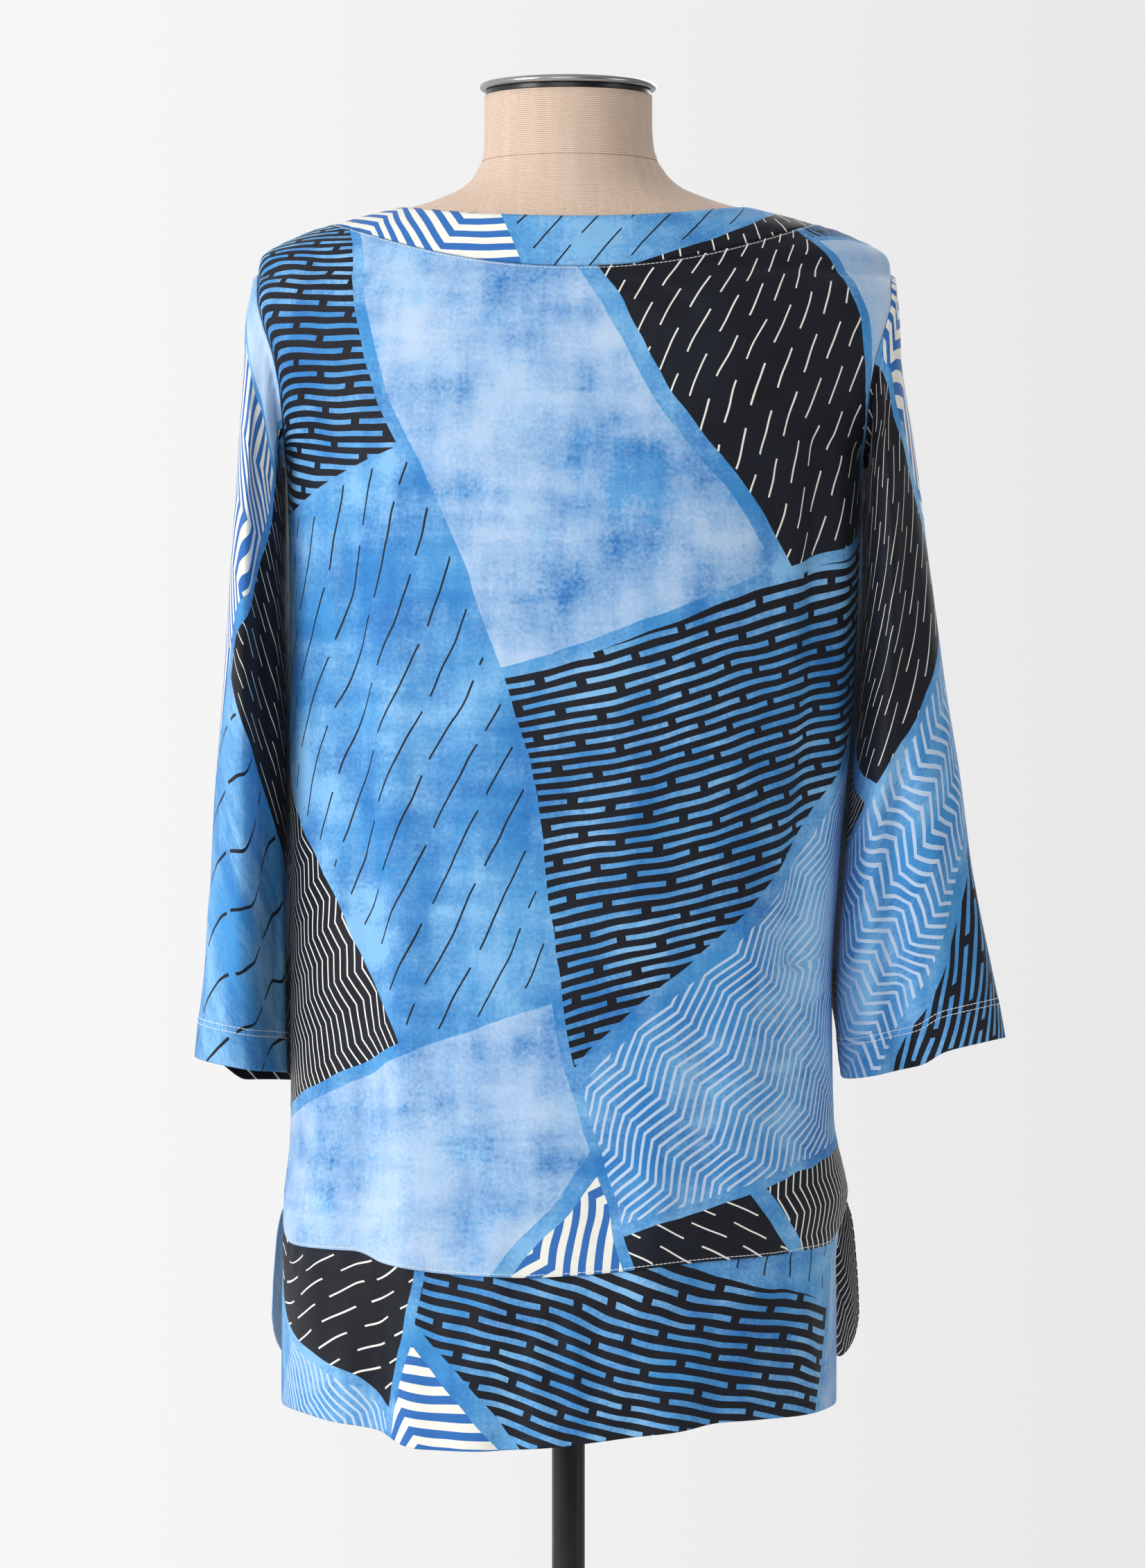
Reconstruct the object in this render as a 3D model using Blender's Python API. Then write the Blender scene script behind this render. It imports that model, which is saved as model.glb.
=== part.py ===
"""Tunic blouse on a limbless dress form with a pole stand. The back of the blouse faces -Y.

Lengths are metres, +Z is up, and the origin is the centre of the stand's underside.
Form and cloth are both described by level sections: at each height a half width, a depth to the back,
a depth to the front and the power of the superellipse through them. Panels, neck bands and tiers are
patches cut from the cloth surface; the sleeves are tubes that start on the armhole edges.
"""
import math

import bmesh
import bpy
import numpy as np
from mathutils import Vector

# Cloth
WALL = 0.0012            # thickness of the cloth walls
SEAM_GAP = 0.0004        # clear space between two pieces at a seam
LAYER_GAP = 0.0006       # clear space between a panel and the tier sewn behind it
END_TUCK = 0.0010        # how much further in a tier lies at its side edges
BACK_TIER_INSET = 0.0009     # how far a tier lies in from its panel's surface below the seam
FRONT_TIER_INSET = 0.0
TIER_OVERLAP = 0.009     # how far a tier reaches up behind its panel

# Places on the garment
UNDERARM_Z = 1.245
UNDERARM_TURN_Z = 1.300        # below this the sleeve leaves the armhole outwards, not in line with the panel
SHOULDER_TIP_Z = 1.3722
NECK_SEAM_SIDE_Z = 1.4047      # where the neck band's seam crosses the shoulder seam
NECK_SEAM_BACK_Z = 1.370       # the same seam at the centre back
NECK_SEAM_FRONT_Z = 1.338
NECK_EDGE_SIDE_Z = 1.4150      # free edge of the neck band at the shoulder
NECK_EDGE_BACK_Z = 1.4030
NECK_EDGE_FRONT_Z = 1.372
PANEL_SIDE_Z = 0.772           # lower end of the side seams
BACK_SEAM_Z = 0.7250           # seam of panel and tier at the centre back
FRONT_SEAM_Z = 0.748
BACK_HEM_Z = 0.6153
FRONT_HEM_Z = 0.652
BACK_CORNER = 0.009            # rounding of the tiers' lower corners
FRONT_CORNER = 0.026
BACK_SLIT = 0.010              # distance of each tier's side edge from the plane of the side seams
FRONT_SLIT = 0.004

# Stand and form
FORM_BOTTOM_Z = 0.772
NECK_TOP_Z = 1.489
CAP_RADIUS = 0.058
CAP_TOP_Z = 1.500
POLE_RADIUS = 0.0108
BASE_RADIUS = 0.180
BASE_HEIGHT = 0.010
HUB_RADIUS = 0.020
HUB_HEIGHT = 0.045
SOCKET_FLOOR_Z = 0.006
FIT_GAP = 0.0003

# The form's sections from the neck's top down to its flat underside. shift is how far a section's middle lies
# to the right of the pole.
FORM = {
    "z":          (1.489, 1.470, 1.455, 1.446, 1.439, 1.434, 1.428, 1.423, 1.4175, 1.4135, 1.4095, 1.4035,
                   1.3985, 1.3935, 1.3878, 1.382, 1.371, 1.355, 1.33, 1.30, 1.27, 1.24, 1.20, 1.15, 1.10,
                   1.04, 0.98, 0.92, 0.86, 0.82, 0.787, 0.772),
    "shift":      (0.0, 0.0, 0.0005, 0.001, 0.0015, 0.002, 0.0025, 0.003, 0.0035, 0.004, 0.004, 0.004,
                   0.004, 0.004, 0.004, 0.004, 0.004, 0.004, 0.004, 0.004, 0.004, 0.004, 0.0035, 0.003,
                   0.002, 0.001, 0.0, 0.0, 0.0, 0.0, 0.0, 0.0),
    "half_width": (0.0550, 0.0550, 0.0556, 0.0582, 0.0618, 0.0655, 0.073, 0.0845, 0.1005, 0.117, 0.134,
                   0.1562, 0.1730, 0.1842, 0.1950, 0.2012, 0.2034, 0.199, 0.192, 0.181, 0.170, 0.165,
                   0.162, 0.150, 0.137, 0.128, 0.138, 0.155, 0.165, 0.165, 0.159, 0.149),
    "back":       (0.056, 0.056, 0.057, 0.059, 0.061, 0.063, 0.0655, 0.068, 0.0705, 0.072, 0.0735, 0.0765,
                   0.079, 0.081, 0.0835, 0.086, 0.0905, 0.0955, 0.100, 0.103, 0.103, 0.101, 0.096, 0.087,
                   0.081, 0.080, 0.091, 0.107, 0.115, 0.113, 0.106, 0.097),
    "front":      (0.056, 0.056, 0.056, 0.057, 0.058, 0.059, 0.061, 0.0625, 0.064, 0.066, 0.068, 0.071,
                   0.0735, 0.076, 0.0785, 0.081, 0.086, 0.092, 0.101, 0.110, 0.117, 0.122, 0.123, 0.112,
                   0.098, 0.090, 0.096, 0.103, 0.107, 0.105, 0.099, 0.091),
    "power":      (2.0, 2.0, 2.0, 2.0, 2.0, 1.95, 1.9, 1.8, 1.7, 1.65, 1.6, 1.6, 1.6, 1.62, 1.65, 1.7,
                   1.78, 1.85, 1.95, 2.05, 2.15, 2.2, 2.25, 2.25, 2.25, 2.25, 2.25, 2.3, 2.35, 2.35, 2.3,
                   2.3),
}

# The cloth's sections below the shoulder tip. edge_x and edge_y are where a panel ends: on the side seam, or
# on the armhole. Above the tip the cloth rests on the form, so its sections are the form's, moved out.
CLOTH = {
    "z":      (0.585, 0.69, 0.74, 0.775, 0.82, 0.90, 0.98, 1.04, 1.12, 1.19, 1.245, 1.265, 1.29, 1.314,
               1.335, 1.353, 1.366),
    "shift":  (-0.002, -0.002, -0.002, -0.0015, -0.004, -0.005, -0.0025, 0.0, 0.003, 0.004, 0.0043,
               0.0043, 0.0042, 0.0041, 0.004, 0.004, 0.004),
    "edge_x": (0.195, 0.194, 0.191, 0.1845, 0.178, 0.177, 0.1795, 0.1825, 0.185, 0.187, 0.1888, 0.1895,
               0.191, 0.195, 0.2015, 0.2058, 0.2064),
    "edge_y": (0.0, 0.0, 0.0, 0.0, 0.0, 0.0, 0.0, 0.0, 0.0, 0.0, 0.0, 0.034, 0.050, 0.055, 0.051, 0.040,
               0.023),
    "back":   (0.143, 0.140, 0.135, 0.131, 0.128, 0.126, 0.122, 0.119, 0.115, 0.112, 0.110, 0.109, 0.1075,
               0.1055, 0.1030, 0.0998, 0.0955),
    "front":  (0.138, 0.136, 0.132, 0.129, 0.127, 0.126, 0.125, 0.126, 0.130, 0.133, 0.133, 0.130, 0.125,
               0.119, 0.112, 0.1035, 0.0935),
    "power":  (2.3, 2.3, 2.3, 2.3, 2.3, 2.3, 2.3, 2.3, 2.3, 2.3, 2.3, 2.25, 2.2, 2.1, 2.0, 1.92, 1.84),
}
# Below the side seams the back hangs narrower than the front, and more to the left.
BACK_SKIRT = {
    "z":        (0.60, 0.66, 0.725, 0.745, 0.765, 0.772),
    "narrower": (0.0120, 0.0110, 0.0095, 0.0060, 0.0010, 0.0),
    "shift":    (-0.004, -0.004, -0.004, -0.003, -0.0005, 0.0),
}
# Rise of the back's lower seam and of its hem over their lowest points, across the back from left to right.
BACK_SEAM_RISE = {
    "across": (-1.0, -0.73, -0.62, -0.40, -0.13, 0.11, 0.50, 0.725, 0.93, 1.0),
    "rise":   (0.0146, 0.0144, 0.0080, 0.0021, 0.0, 0.0022, 0.0092, 0.0112, 0.0141, 0.0145),
}
BACK_HEM_RISE = {
    "across": (-1.0, -0.90, -0.67, -0.48, -0.30, -0.06, 0.19, 0.42, 0.57, 0.83, 1.0),
    "rise":   (0.0190, 0.0175, 0.0110, 0.0008, 0.0, 0.0023, 0.0073, 0.0124, 0.0164, 0.0173, 0.0190),
}
FRONT_RISE = {
    "across": (-1.0, -0.5, 0.0, 0.5, 1.0),
    "rise":   (0.012, 0.003, 0.0, 0.003, 0.012),
}
REST_RAISE = 0.0012      # the cloth on the shoulders, measured from the form's sections
REST_WIDEN = 0.0023
REST_DEEPEN = 0.0018
TIP_WIDEN = 0.0019       # more room where the shoulder turns down, from TIP_TOP_Z over TIP_DROP
TIP_TOP_Z = 1.3935
TIP_DROP = 0.0115

# Heights at which the panels' edge has a point on the armhole, underarm first.
ARMHOLE_Z = (1.245, 1.2535, 1.265, 1.281, 1.300, 1.319, 1.337, 1.352, 1.364, 1.3722)

# Long soft folds. place is the share of the half width, at the fold's top and bottom; height is outwards.
BACK_FOLDS = (
    {"place": (-0.80, -0.66), "z": (1.30, 0.60), "width": 0.075, "height": -0.0055},
    {"place": (-0.62, -0.50), "z": (1.18, 0.60), "width": 0.080, "height": 0.0045},
    {"place": (0.845, 0.85), "z": (1.31, 0.92), "width": 0.055, "height": -0.0068},
    {"place": (0.940, 0.93), "z": (1.29, 0.90), "width": 0.045, "height": 0.0060},
    {"place": (0.30, 0.34), "z": (0.86, 0.58), "width": 0.080, "height": 0.0040},
    {"place": (-0.22, -0.25), "z": (0.80, 0.58), "width": 0.060, "height": 0.0035},
)
FRONT_FOLDS = (
    {"place": (-0.72, -0.60), "z": (1.22, 0.62), "width": 0.090, "height": 0.0060},
    {"place": (-0.48, -0.40), "z": (1.20, 0.62), "width": 0.070, "height": -0.0040},
    {"place": (0.68, 0.58), "z": (1.22, 0.62), "width": 0.090, "height": 0.0055},
    {"place": (0.42, 0.38), "z": (1.16, 0.62), "width": 0.070, "height": -0.0040},
    {"place": (0.05, 0.02), "z": (1.00, 0.62), "width": 0.090, "height": 0.0035},
)
SIDE_CLIMB = 60          # power of the lower seams' last climb to the side seams
FOLD_FADE = 0.10         # length over which a fold dies out at each end

# Sleeve sections from shoulder to cuff. Each is a slanted loop between its outer and its inner point. The
# back has one long fold: turn is its place from the outer to the inner point, step is how far the cloth on
# one side of it lies in, as a share of the depth, and groove is the depth of the furrow along it. lean is how
# far the front of the sleeve wraps in beside the body, drop is how much lower its front half hangs, and
# ripple is how much the back half's edge rises past RIPPLE_PLACE.
LEFT_SLEEVE = {
    "outer_x": (0.2025, 0.2085, 0.2110, 0.2145, 0.2185, 0.2225, 0.2260, 0.2300, 0.2335, 0.2370, 0.2420,
                0.2445),
    "outer_z": (1.3722, 1.345, 1.315, 1.270, 1.213, 1.160, 1.100, 1.049, 0.980, 0.923, 0.887, 0.860),
    "inner_x": (0.1845, 0.1870, 0.1868, 0.1860, 0.1853, 0.1850, 0.1850, 0.1850, 0.1850, 0.1850, 0.1850,
                0.1850),
    "inner_z": (1.2480, 1.226, 1.206, 1.180, 1.145, 1.108, 1.064, 1.022, 0.960, 0.905, 0.871, 0.849),
    "back":    (0.054, 0.058, 0.062, 0.066, 0.069, 0.071, 0.071, 0.070, 0.068, 0.064, 0.061, 0.059),
    "front":   (0.060, 0.062, 0.066, 0.070, 0.073, 0.075, 0.075, 0.074, 0.072, 0.069, 0.066, 0.064),
    "turn":    (0.25, 0.28, 0.33, 0.40, 0.46, 0.51, 0.56, 0.62, 0.69, 0.74, 0.78, 0.80),
    "step":    (0.00, 0.08, 0.24, 0.36, 0.44, 0.49, 0.52, 0.54, 0.56, 0.58, 0.60, 0.61),
    "groove":  (0.0, 0.0, 0.0, 0.0, 0.0, 0.0, 0.0, 0.0, 0.0, 0.0, 0.0, 0.0),
    "lean":    (0.0, 0.0, 0.003, 0.010, 0.018, 0.025, 0.028, 0.028, 0.028, 0.028, 0.027, 0.026),
    "drop":    (0.0, 0.0, 0.0, 0.0, 0.0, 0.0, 0.0, 0.001, 0.002, 0.004, 0.009, 0.0135),
    "ripple":  (0.0, 0.0, 0.0, 0.0, 0.0, 0.0, 0.0, 0.0, 0.0, 0.0, 0.0, 0.0),
}
RIGHT_SLEEVE = {
    "outer_x": (0.2085, 0.2130, 0.2160, 0.2238, 0.2320, 0.2395, 0.2475, 0.2555, 0.2650, 0.2760, 0.2825,
                0.2860),
    "outer_z": (1.3722, 1.345, 1.315, 1.270, 1.213, 1.158, 1.100, 1.049, 0.977, 0.924, 0.892, 0.8715),
    "inner_x": (0.1935, 0.1950, 0.1943, 0.1935, 0.1921, 0.1902, 0.1871, 0.1835, 0.1786, 0.1748, 0.1765,
                0.1788),
    "inner_z": (1.2480, 1.226, 1.206, 1.180, 1.145, 1.105, 1.062, 1.018, 0.956, 0.903, 0.868, 0.8462),
    "back":    (0.054, 0.058, 0.062, 0.066, 0.068, 0.067, 0.064, 0.061, 0.057, 0.053, 0.051, 0.049),
    "front":   (0.060, 0.062, 0.066, 0.069, 0.070, 0.069, 0.066, 0.063, 0.058, 0.053, 0.050, 0.048),
    "turn":    (0.36, 0.36, 0.38, 0.42, 0.46, 0.50, 0.54, 0.60, 0.65, 0.65, 0.65, 0.65),
    "step":    (0.00, 0.08, 0.16, 0.22, 0.24, 0.23, 0.20, 0.16, 0.10, 0.06, 0.05, 0.04),
    "groove":  (0.0, 0.0, 0.0, 0.0, 0.001, 0.002, 0.004, 0.007, 0.010, 0.012, 0.013, 0.013),
    "lean":    (0.0, 0.0, 0.003, 0.010, 0.018, 0.025, 0.029, 0.030, 0.030, 0.028, 0.014, 0.004),
    "drop":    (0.0, 0.0, 0.0, 0.0, 0.0, 0.0, 0.0, 0.0, 0.0, 0.0, 0.0, 0.0),
    "ripple":  (0.0, 0.0, 0.0, 0.0, 0.0, 0.0, 0.0, 0.0, 0.0, 0.001, 0.002, 0.003),
}
RIPPLE_PLACE, RIPPLE_WIDTH = 0.08, 0.12      # from the inner point at -1 to the outer point at 1
DROP_PLACE, DROP_WIDTH, DROP_TILT = 1.00, 0.40, 0.35
FOLD_SHARPNESS = 0.05         # share of the way from the outer to the inner point over which a step turns
GROOVE_WIDTH = 0.11           # half width of the furrow, on the same scale
SLEEVE_POWER = 2.3
SLEEVE_HEAD = 0.0035          # first stretch of the sleeve, still in the panels' direction
SEAM_SHAPE_LEFT = (1.0, 0.60, 0.30, 0.10)   # how much of the armhole's own shape the first sections keep

# Counts of the meshes' rows and columns
PANEL_COLUMNS = 26
BODY_ROWS = 9
UNDERARM_ROW = BODY_ROWS + 1     # number of the panels' row at the underarm, one row being the tier's overlap
SLEEVE_ROWS = 13
TIER_ROWS = 5
BAND_ROWS = 2
FORM_COLUMNS = 32
ROUND_SIDES = 32

FINISHES = {
    "printed_cloth": ((0.10, 0.24, 0.60), 0.62, 0.0),
    "band_cloth": ((0.22, 0.45, 0.80), 0.62, 0.0),
    "linen": ((0.66, 0.54, 0.42), 0.85, 0.0),
    "chrome": ((0.80, 0.80, 0.82), 0.12, 1.0),
    "black_metal": ((0.03, 0.03, 0.035), 0.35, 0.6),
}


def clear_scene():
    for obj in list(bpy.data.objects):
        bpy.data.objects.remove(obj)


def material(name):
    mat = bpy.data.materials.get(name)
    if mat is None:
        colour, roughness, metallic = FINISHES[name]
        mat = bpy.data.materials.new(name)
        mat.use_nodes = True
        shader = mat.node_tree.nodes["Principled BSDF"]
        shader.inputs["Base Color"].default_value = (*colour, 1.0)
        shader.inputs["Roughness"].default_value = roughness
        shader.inputs["Metallic"].default_value = metallic
    return mat


def smooth_steps(x, y, at):
    """Value at `at` of the smooth curve through (x, y) that doesn't overshoot between its points."""
    x, y = np.asarray(x, float), np.asarray(y, float)
    if x[0] > x[-1]:
        x, y = x[::-1], y[::-1]
    gap = np.diff(x)
    rate = np.diff(y) / gap
    slope = np.zeros(len(x))
    slope[0], slope[-1] = rate[0], rate[-1]
    for i in range(1, len(x) - 1):
        if rate[i - 1] * rate[i] > 0:
            w1, w2 = 2 * gap[i] + gap[i - 1], gap[i] + 2 * gap[i - 1]
            slope[i] = (w1 + w2) / (w1 / rate[i - 1] + w2 / rate[i])
    at = np.clip(at, x[0], x[-1])
    i = int(np.clip(np.searchsorted(x, at) - 1, 0, len(x) - 2))
    t = (at - x[i]) / gap[i]
    return ((1 + 2 * t) * (1 - t) ** 2 * y[i] + t * (1 - t) ** 2 * gap[i] * slope[i]
            + t * t * (3 - 2 * t) * y[i + 1] + t * t * (t - 1) * gap[i] * slope[i + 1])


def cloth_table():
    """The cloth's sections over its whole height: CLOTH, then the form's shoulder moved out."""
    rows = {key: list(values) for key, values in CLOTH.items()}
    shoulder = [i for i, z in enumerate(FORM["z"]) if 1.37 < z < 1.43]
    for i in reversed(shoulder):
        rows["z"].append(FORM["z"][i] + REST_RAISE)
        rows["shift"].append(FORM["shift"][i])
        turn = min(1.0, max(0.0, (TIP_TOP_Z - FORM["z"][i]) / TIP_DROP))
        rows["edge_x"].append(FORM["half_width"][i] + REST_WIDEN + TIP_WIDEN * turn)
        rows["edge_y"].append(0.0)
        rows["back"].append(FORM["back"][i] + REST_DEEPEN)
        rows["front"].append(FORM["front"][i] + REST_DEEPEN)
        rows["power"].append(FORM["power"][i])
    return rows


CLOTH_ROWS = cloth_table()


def cloth_value(key, z, side=1):
    value = smooth_steps(CLOTH_ROWS["z"], CLOTH_ROWS[key], z)
    if side < 0 and z < PANEL_SIDE_Z:
        if key == "edge_x":
            value -= smooth_steps(BACK_SKIRT["z"], BACK_SKIRT["narrower"], z)
        if key == "shift":
            value += smooth_steps(BACK_SKIRT["z"], BACK_SKIRT["shift"], z)
    return value


def edge_depth(side, z):
    """Distance of a panel's edge from the plane of the side seams."""
    return cloth_value("edge_y", z) * (1.0 if side < 0 else 1.12)


def cloth_point(side, across, z, edge_z):
    """Point of the cloth surface. side is -1 for back and 1 for front; across runs from -1 to 1 along a row
    whose edges are at the height edge_z."""
    depth = cloth_value("back" if side < 0 else "front", z)
    power = cloth_value("power", z)
    reach = (cloth_value("edge_x", z, side)
             / (1 - (edge_depth(side, z) / depth) ** power) ** (1 / power))
    x = cloth_value("edge_x", edge_z, side) * across
    share = max(0.0, 1 - abs(x / reach) ** power) ** (1 / power)
    return Vector((x + cloth_value("shift", z, side), side * (depth * share + SEAM_GAP / 2), z))


def ridge_columns(count, reach=1.0):
    """Positions across a panel, closer together towards its edges."""
    return [reach * math.sin(math.pi / 2 * (2 * i / count - 1)) for i in range(count + 1)]


def fold_height(folds, across, z):
    total = 0.0
    for fold in folds:
        top, bottom = fold["z"]
        if not bottom < z < top:
            continue
        t = (top - z) / (top - bottom)
        place = fold["place"][0] + (fold["place"][1] - fold["place"][0]) * t
        fade = min(1.0, (top - z) / FOLD_FADE)
        shape = math.exp(-((across - place) / fold["width"]) ** 2)
        total += fold["height"] * fade * fade * (3 - 2 * fade) * shape
    return total * (1 - across ** 8)


def hem_wave(side, across, z):
    """Ripples of the tiers, none at their seam and full at the hem."""
    t = min(1.0, max(0.0, (0.735 - z) / 0.11))
    phase = 1.3 if side < 0 else 0.4
    ripple = math.sin(15.0 * across + phase) + 0.6 * math.sin(26.0 * across + 2.1 + phase)
    return 0.0028 * t * t * ripple * (1 - across ** 6)


def grid_normals(grid, closed):
    """Unit normals of a grid of points, rows first. closed wraps the columns round."""
    down = np.gradient(grid, axis=0)
    if closed:
        round_ = np.roll(grid, -1, axis=1) - np.roll(grid, 1, axis=1)
    else:
        round_ = np.gradient(grid, axis=1)
    normal = np.cross(round_, down)
    length = np.linalg.norm(normal, axis=2, keepdims=True)
    return normal / np.maximum(length, 1e-12)


def outward_normals(grid, closed):
    """Normals turned away from the middle of the grid's own section."""
    normal = grid_normals(grid, closed)
    centre = grid.mean(axis=1, keepdims=True) if closed else np.array([0.0, 0.0, 0.0])
    away = grid - centre
    away[..., 2] = 0
    if (normal * away).sum() < 0:
        normal = -normal
    return normal


def add_object(name, points, triangles, finish):
    mesh = bpy.data.meshes.new(name)
    mesh.from_pydata([tuple(p) for p in points], [], triangles)
    mesh.validate()
    work = bmesh.new()
    work.from_mesh(mesh)
    bmesh.ops.recalc_face_normals(work, faces=work.faces)
    work.to_mesh(mesh)
    work.free()
    mesh.shade_smooth()
    mesh.set_sharp_from_angle(angle=math.radians(50))
    mesh.materials.append(material(finish))
    obj = bpy.data.objects.new(name, mesh)
    bpy.context.scene.collection.objects.link(obj)
    return obj


def wall(name, outer, finish, closed=False, seam_rows=()):
    """Closed wall between a grid of outer points and the same grid moved in by the thickness. In seam_rows
    the ends of the rows lie on the plane of the side seams and stay beside it."""
    normals = outward_normals(outer, closed)
    for i in seam_rows:
        for end in (0, -1):
            normals[i, end, 1] = 0.0
            normals[i, end] /= np.linalg.norm(normals[i, end])
    inner = outer - normals * WALL
    rows, columns = outer.shape[:2]
    count = rows * columns
    points = np.concatenate([outer.reshape(-1, 3), inner.reshape(-1, 3)])
    triangles = []

    def quad(a, b, c, d):
        triangles.append((a, b, c))
        triangles.append((a, c, d))

    last = columns if closed else columns - 1
    for i in range(rows - 1):
        for j in range(last):
            k = (j + 1) % columns
            a, b, c, d = i * columns + j, i * columns + k, (i + 1) * columns + k, (i + 1) * columns + j
            quad(a, b, c, d)
            quad(count + a, count + b, count + c, count + d)
    for i in (0, rows - 1):
        for j in range(last):
            k = (j + 1) % columns
            a, b = i * columns + j, i * columns + k
            quad(a, b, count + b, count + a)
    if not closed:
        for i in range(rows - 1):
            for j in (0, columns - 1):
                a, b = i * columns + j, (i + 1) * columns + j
                quad(a, b, count + b, count + a)
    return add_object(name, points, triangles, finish)


def cloth_grid(side, rows, columns, sink=0.0):
    """Grid of cloth points with their folds. rows holds (edge height, centre height, curve) for each row,
    where curve bends the row between its centre and its edges."""
    folds = BACK_FOLDS if side < 0 else FRONT_FOLDS
    flat = np.array([[cloth_point(side, c, edge_z + (centre_z - edge_z) * (1 - curve(c)), edge_z)
                      for c in columns] for edge_z, centre_z, curve in rows])
    rise = np.array([[fold_height(folds, columns[j], flat[i, j, 2])
                      + hem_wave(side, columns[j], flat[i, j, 2])
                      for j in range(len(columns))] for i in range(len(rows))])
    return flat + outward_normals(flat, False) * (rise - sink)[..., None]


def gentle(c):
    return abs(c) ** 2.05


def lower_rise(side, c, seam):
    """Rise of a lower seam or hem over its lowest point, without the seam's last climb to the side seam."""
    table = (BACK_SEAM_RISE if seam else BACK_HEM_RISE) if side < 0 else FRONT_RISE
    return smooth_steps(table["across"], table["rise"], c)


def seam_curve(side):
    """Shirt-tail shape of a panel's lower seam, as a share of its whole rise to the side seam."""
    whole = PANEL_SIDE_Z - (BACK_SEAM_Z if side < 0 else FRONT_SEAM_Z)

    def curve(c):
        low = lower_rise(side, c, True) / whole
        return low + (1 - low) * abs(c) ** SIDE_CLIMB
    return curve


def panel_rows(side):
    """Rows of a body panel from its lower seam up to the neck seam."""
    seam_z = BACK_SEAM_Z if side < 0 else FRONT_SEAM_Z
    neck_z = NECK_SEAM_BACK_Z if side < 0 else NECK_SEAM_FRONT_Z
    rows = [(PANEL_SIDE_Z + up, seam_z + up, seam_curve(side)) for up in (0.0, TIER_OVERLAP)]
    for i in range(1, BODY_ROWS):
        t = i / BODY_ROWS
        edge_z = PANEL_SIDE_Z + (UNDERARM_Z - PANEL_SIDE_Z) * t
        centre_z = seam_z + (UNDERARM_Z - seam_z) * t
        rows.append((edge_z, centre_z, gentle))
    upper = list(ARMHOLE_Z) + [smooth_steps((0, 1), (SHOULDER_TIP_Z, NECK_SEAM_SIDE_Z), t)
                               for t in (0.33, 0.56, 0.74, 0.88, 1.0)]
    start = UNDERARM_Z
    for i, edge_z in enumerate(upper):
        t = i / (len(upper) - 1)
        rows.append((edge_z, start + (neck_z - start) * t, gentle))
    return rows


def build_panel(name, side):
    grid = cloth_grid(side, panel_rows(side), ridge_columns(PANEL_COLUMNS))
    tip_row = UNDERARM_ROW + len(ARMHOLE_Z) - 1
    seams = list(range(UNDERARM_ROW + 1)) + list(range(tip_row, len(grid)))
    wall(name, grid, "printed_cloth", seam_rows=seams)
    return grid


def build_neck_band(name, side):
    seam_z = NECK_SEAM_BACK_Z if side < 0 else NECK_SEAM_FRONT_Z
    edge_z = NECK_EDGE_BACK_Z if side < 0 else NECK_EDGE_FRONT_Z
    rows = []
    for i in range(BAND_ROWS + 1):
        t = i / BAND_ROWS
        side_z = NECK_SEAM_SIDE_Z + SEAM_GAP + (NECK_EDGE_SIDE_Z - NECK_SEAM_SIDE_Z) * t
        rows.append((side_z, seam_z + SEAM_GAP + (edge_z - seam_z) * t, gentle))
    grid = cloth_grid(side, rows, ridge_columns(PANEL_COLUMNS))
    wall(name, grid, "band_cloth", seam_rows=range(len(grid)))


def corner_rise(distance, radius):
    """Height of a rounded corner above the hem, at a distance from the tier's side edge."""
    if distance >= radius:
        return 0.0
    return radius - math.sqrt(max(0.0, radius ** 2 - (radius - distance) ** 2))


def build_tier(name, side, panel):
    """Lower tier: its top rows are the panel's own points moved in behind it, and its sides are open
    slits."""
    hem_z, corner = (BACK_HEM_Z, BACK_CORNER) if side < 0 else (FRONT_HEM_Z, FRONT_CORNER)
    slit = BACK_SLIT if side < 0 else FRONT_SLIT
    depth, power = cloth_value("back" if side < 0 else "front", hem_z), cloth_value("power", hem_z)
    reach = (1 - (slit / depth) ** power) ** (1 / power)
    columns = ridge_columns(PANEL_COLUMNS)
    seam, above = panel[0].copy(), panel[1].copy()
    for end, beside in ((0, 1), (-1, -2)):
        for row in (seam, above):
            row[end] += (row[beside] - row[end]) * (slit / abs(row[beside][1] - row[end][1]))
        columns[end] = math.copysign(reach, columns[end])
    hem = [cloth_point(side, c, hem_z, hem_z) for c in columns]
    stretches = [(b - a).length for a, b in zip(hem, hem[1:])]
    rows = [above, seam]
    for i in range(1, TIER_ROWS + 1):
        row = []
        for j, c in enumerate(columns):
            from_edge = min(sum(stretches[:j]), sum(stretches[j:]))
            bottom = hem_z + lower_rise(side, c, False) + corner_rise(from_edge, corner)
            z = seam[j][2] + (bottom - seam[j][2]) * i / TIER_ROWS
            row.append(cloth_point(side, c, z, z))
        rows.append(np.array(row))
    flat = np.array(rows)
    folds = BACK_FOLDS if side < 0 else FRONT_FOLDS
    swell = np.array([[-END_TUCK * abs(c) ** 20 for c in columns]] * len(rows))
    for i in range(2, len(flat)):
        for j, c in enumerate(columns):
            swell[i, j] += fold_height(folds, c, flat[i, j, 2]) + hem_wave(side, c, flat[i, j, 2])
    hanging = BACK_TIER_INSET if side < 0 else FRONT_TIER_INSET
    inset = np.array([WALL + LAYER_GAP] * 2 + [hanging] * TIER_ROWS)[:, None]
    grid = flat + outward_normals(flat, False) * (swell - inset)[..., None]
    wall(name, grid, "printed_cloth")


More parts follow.
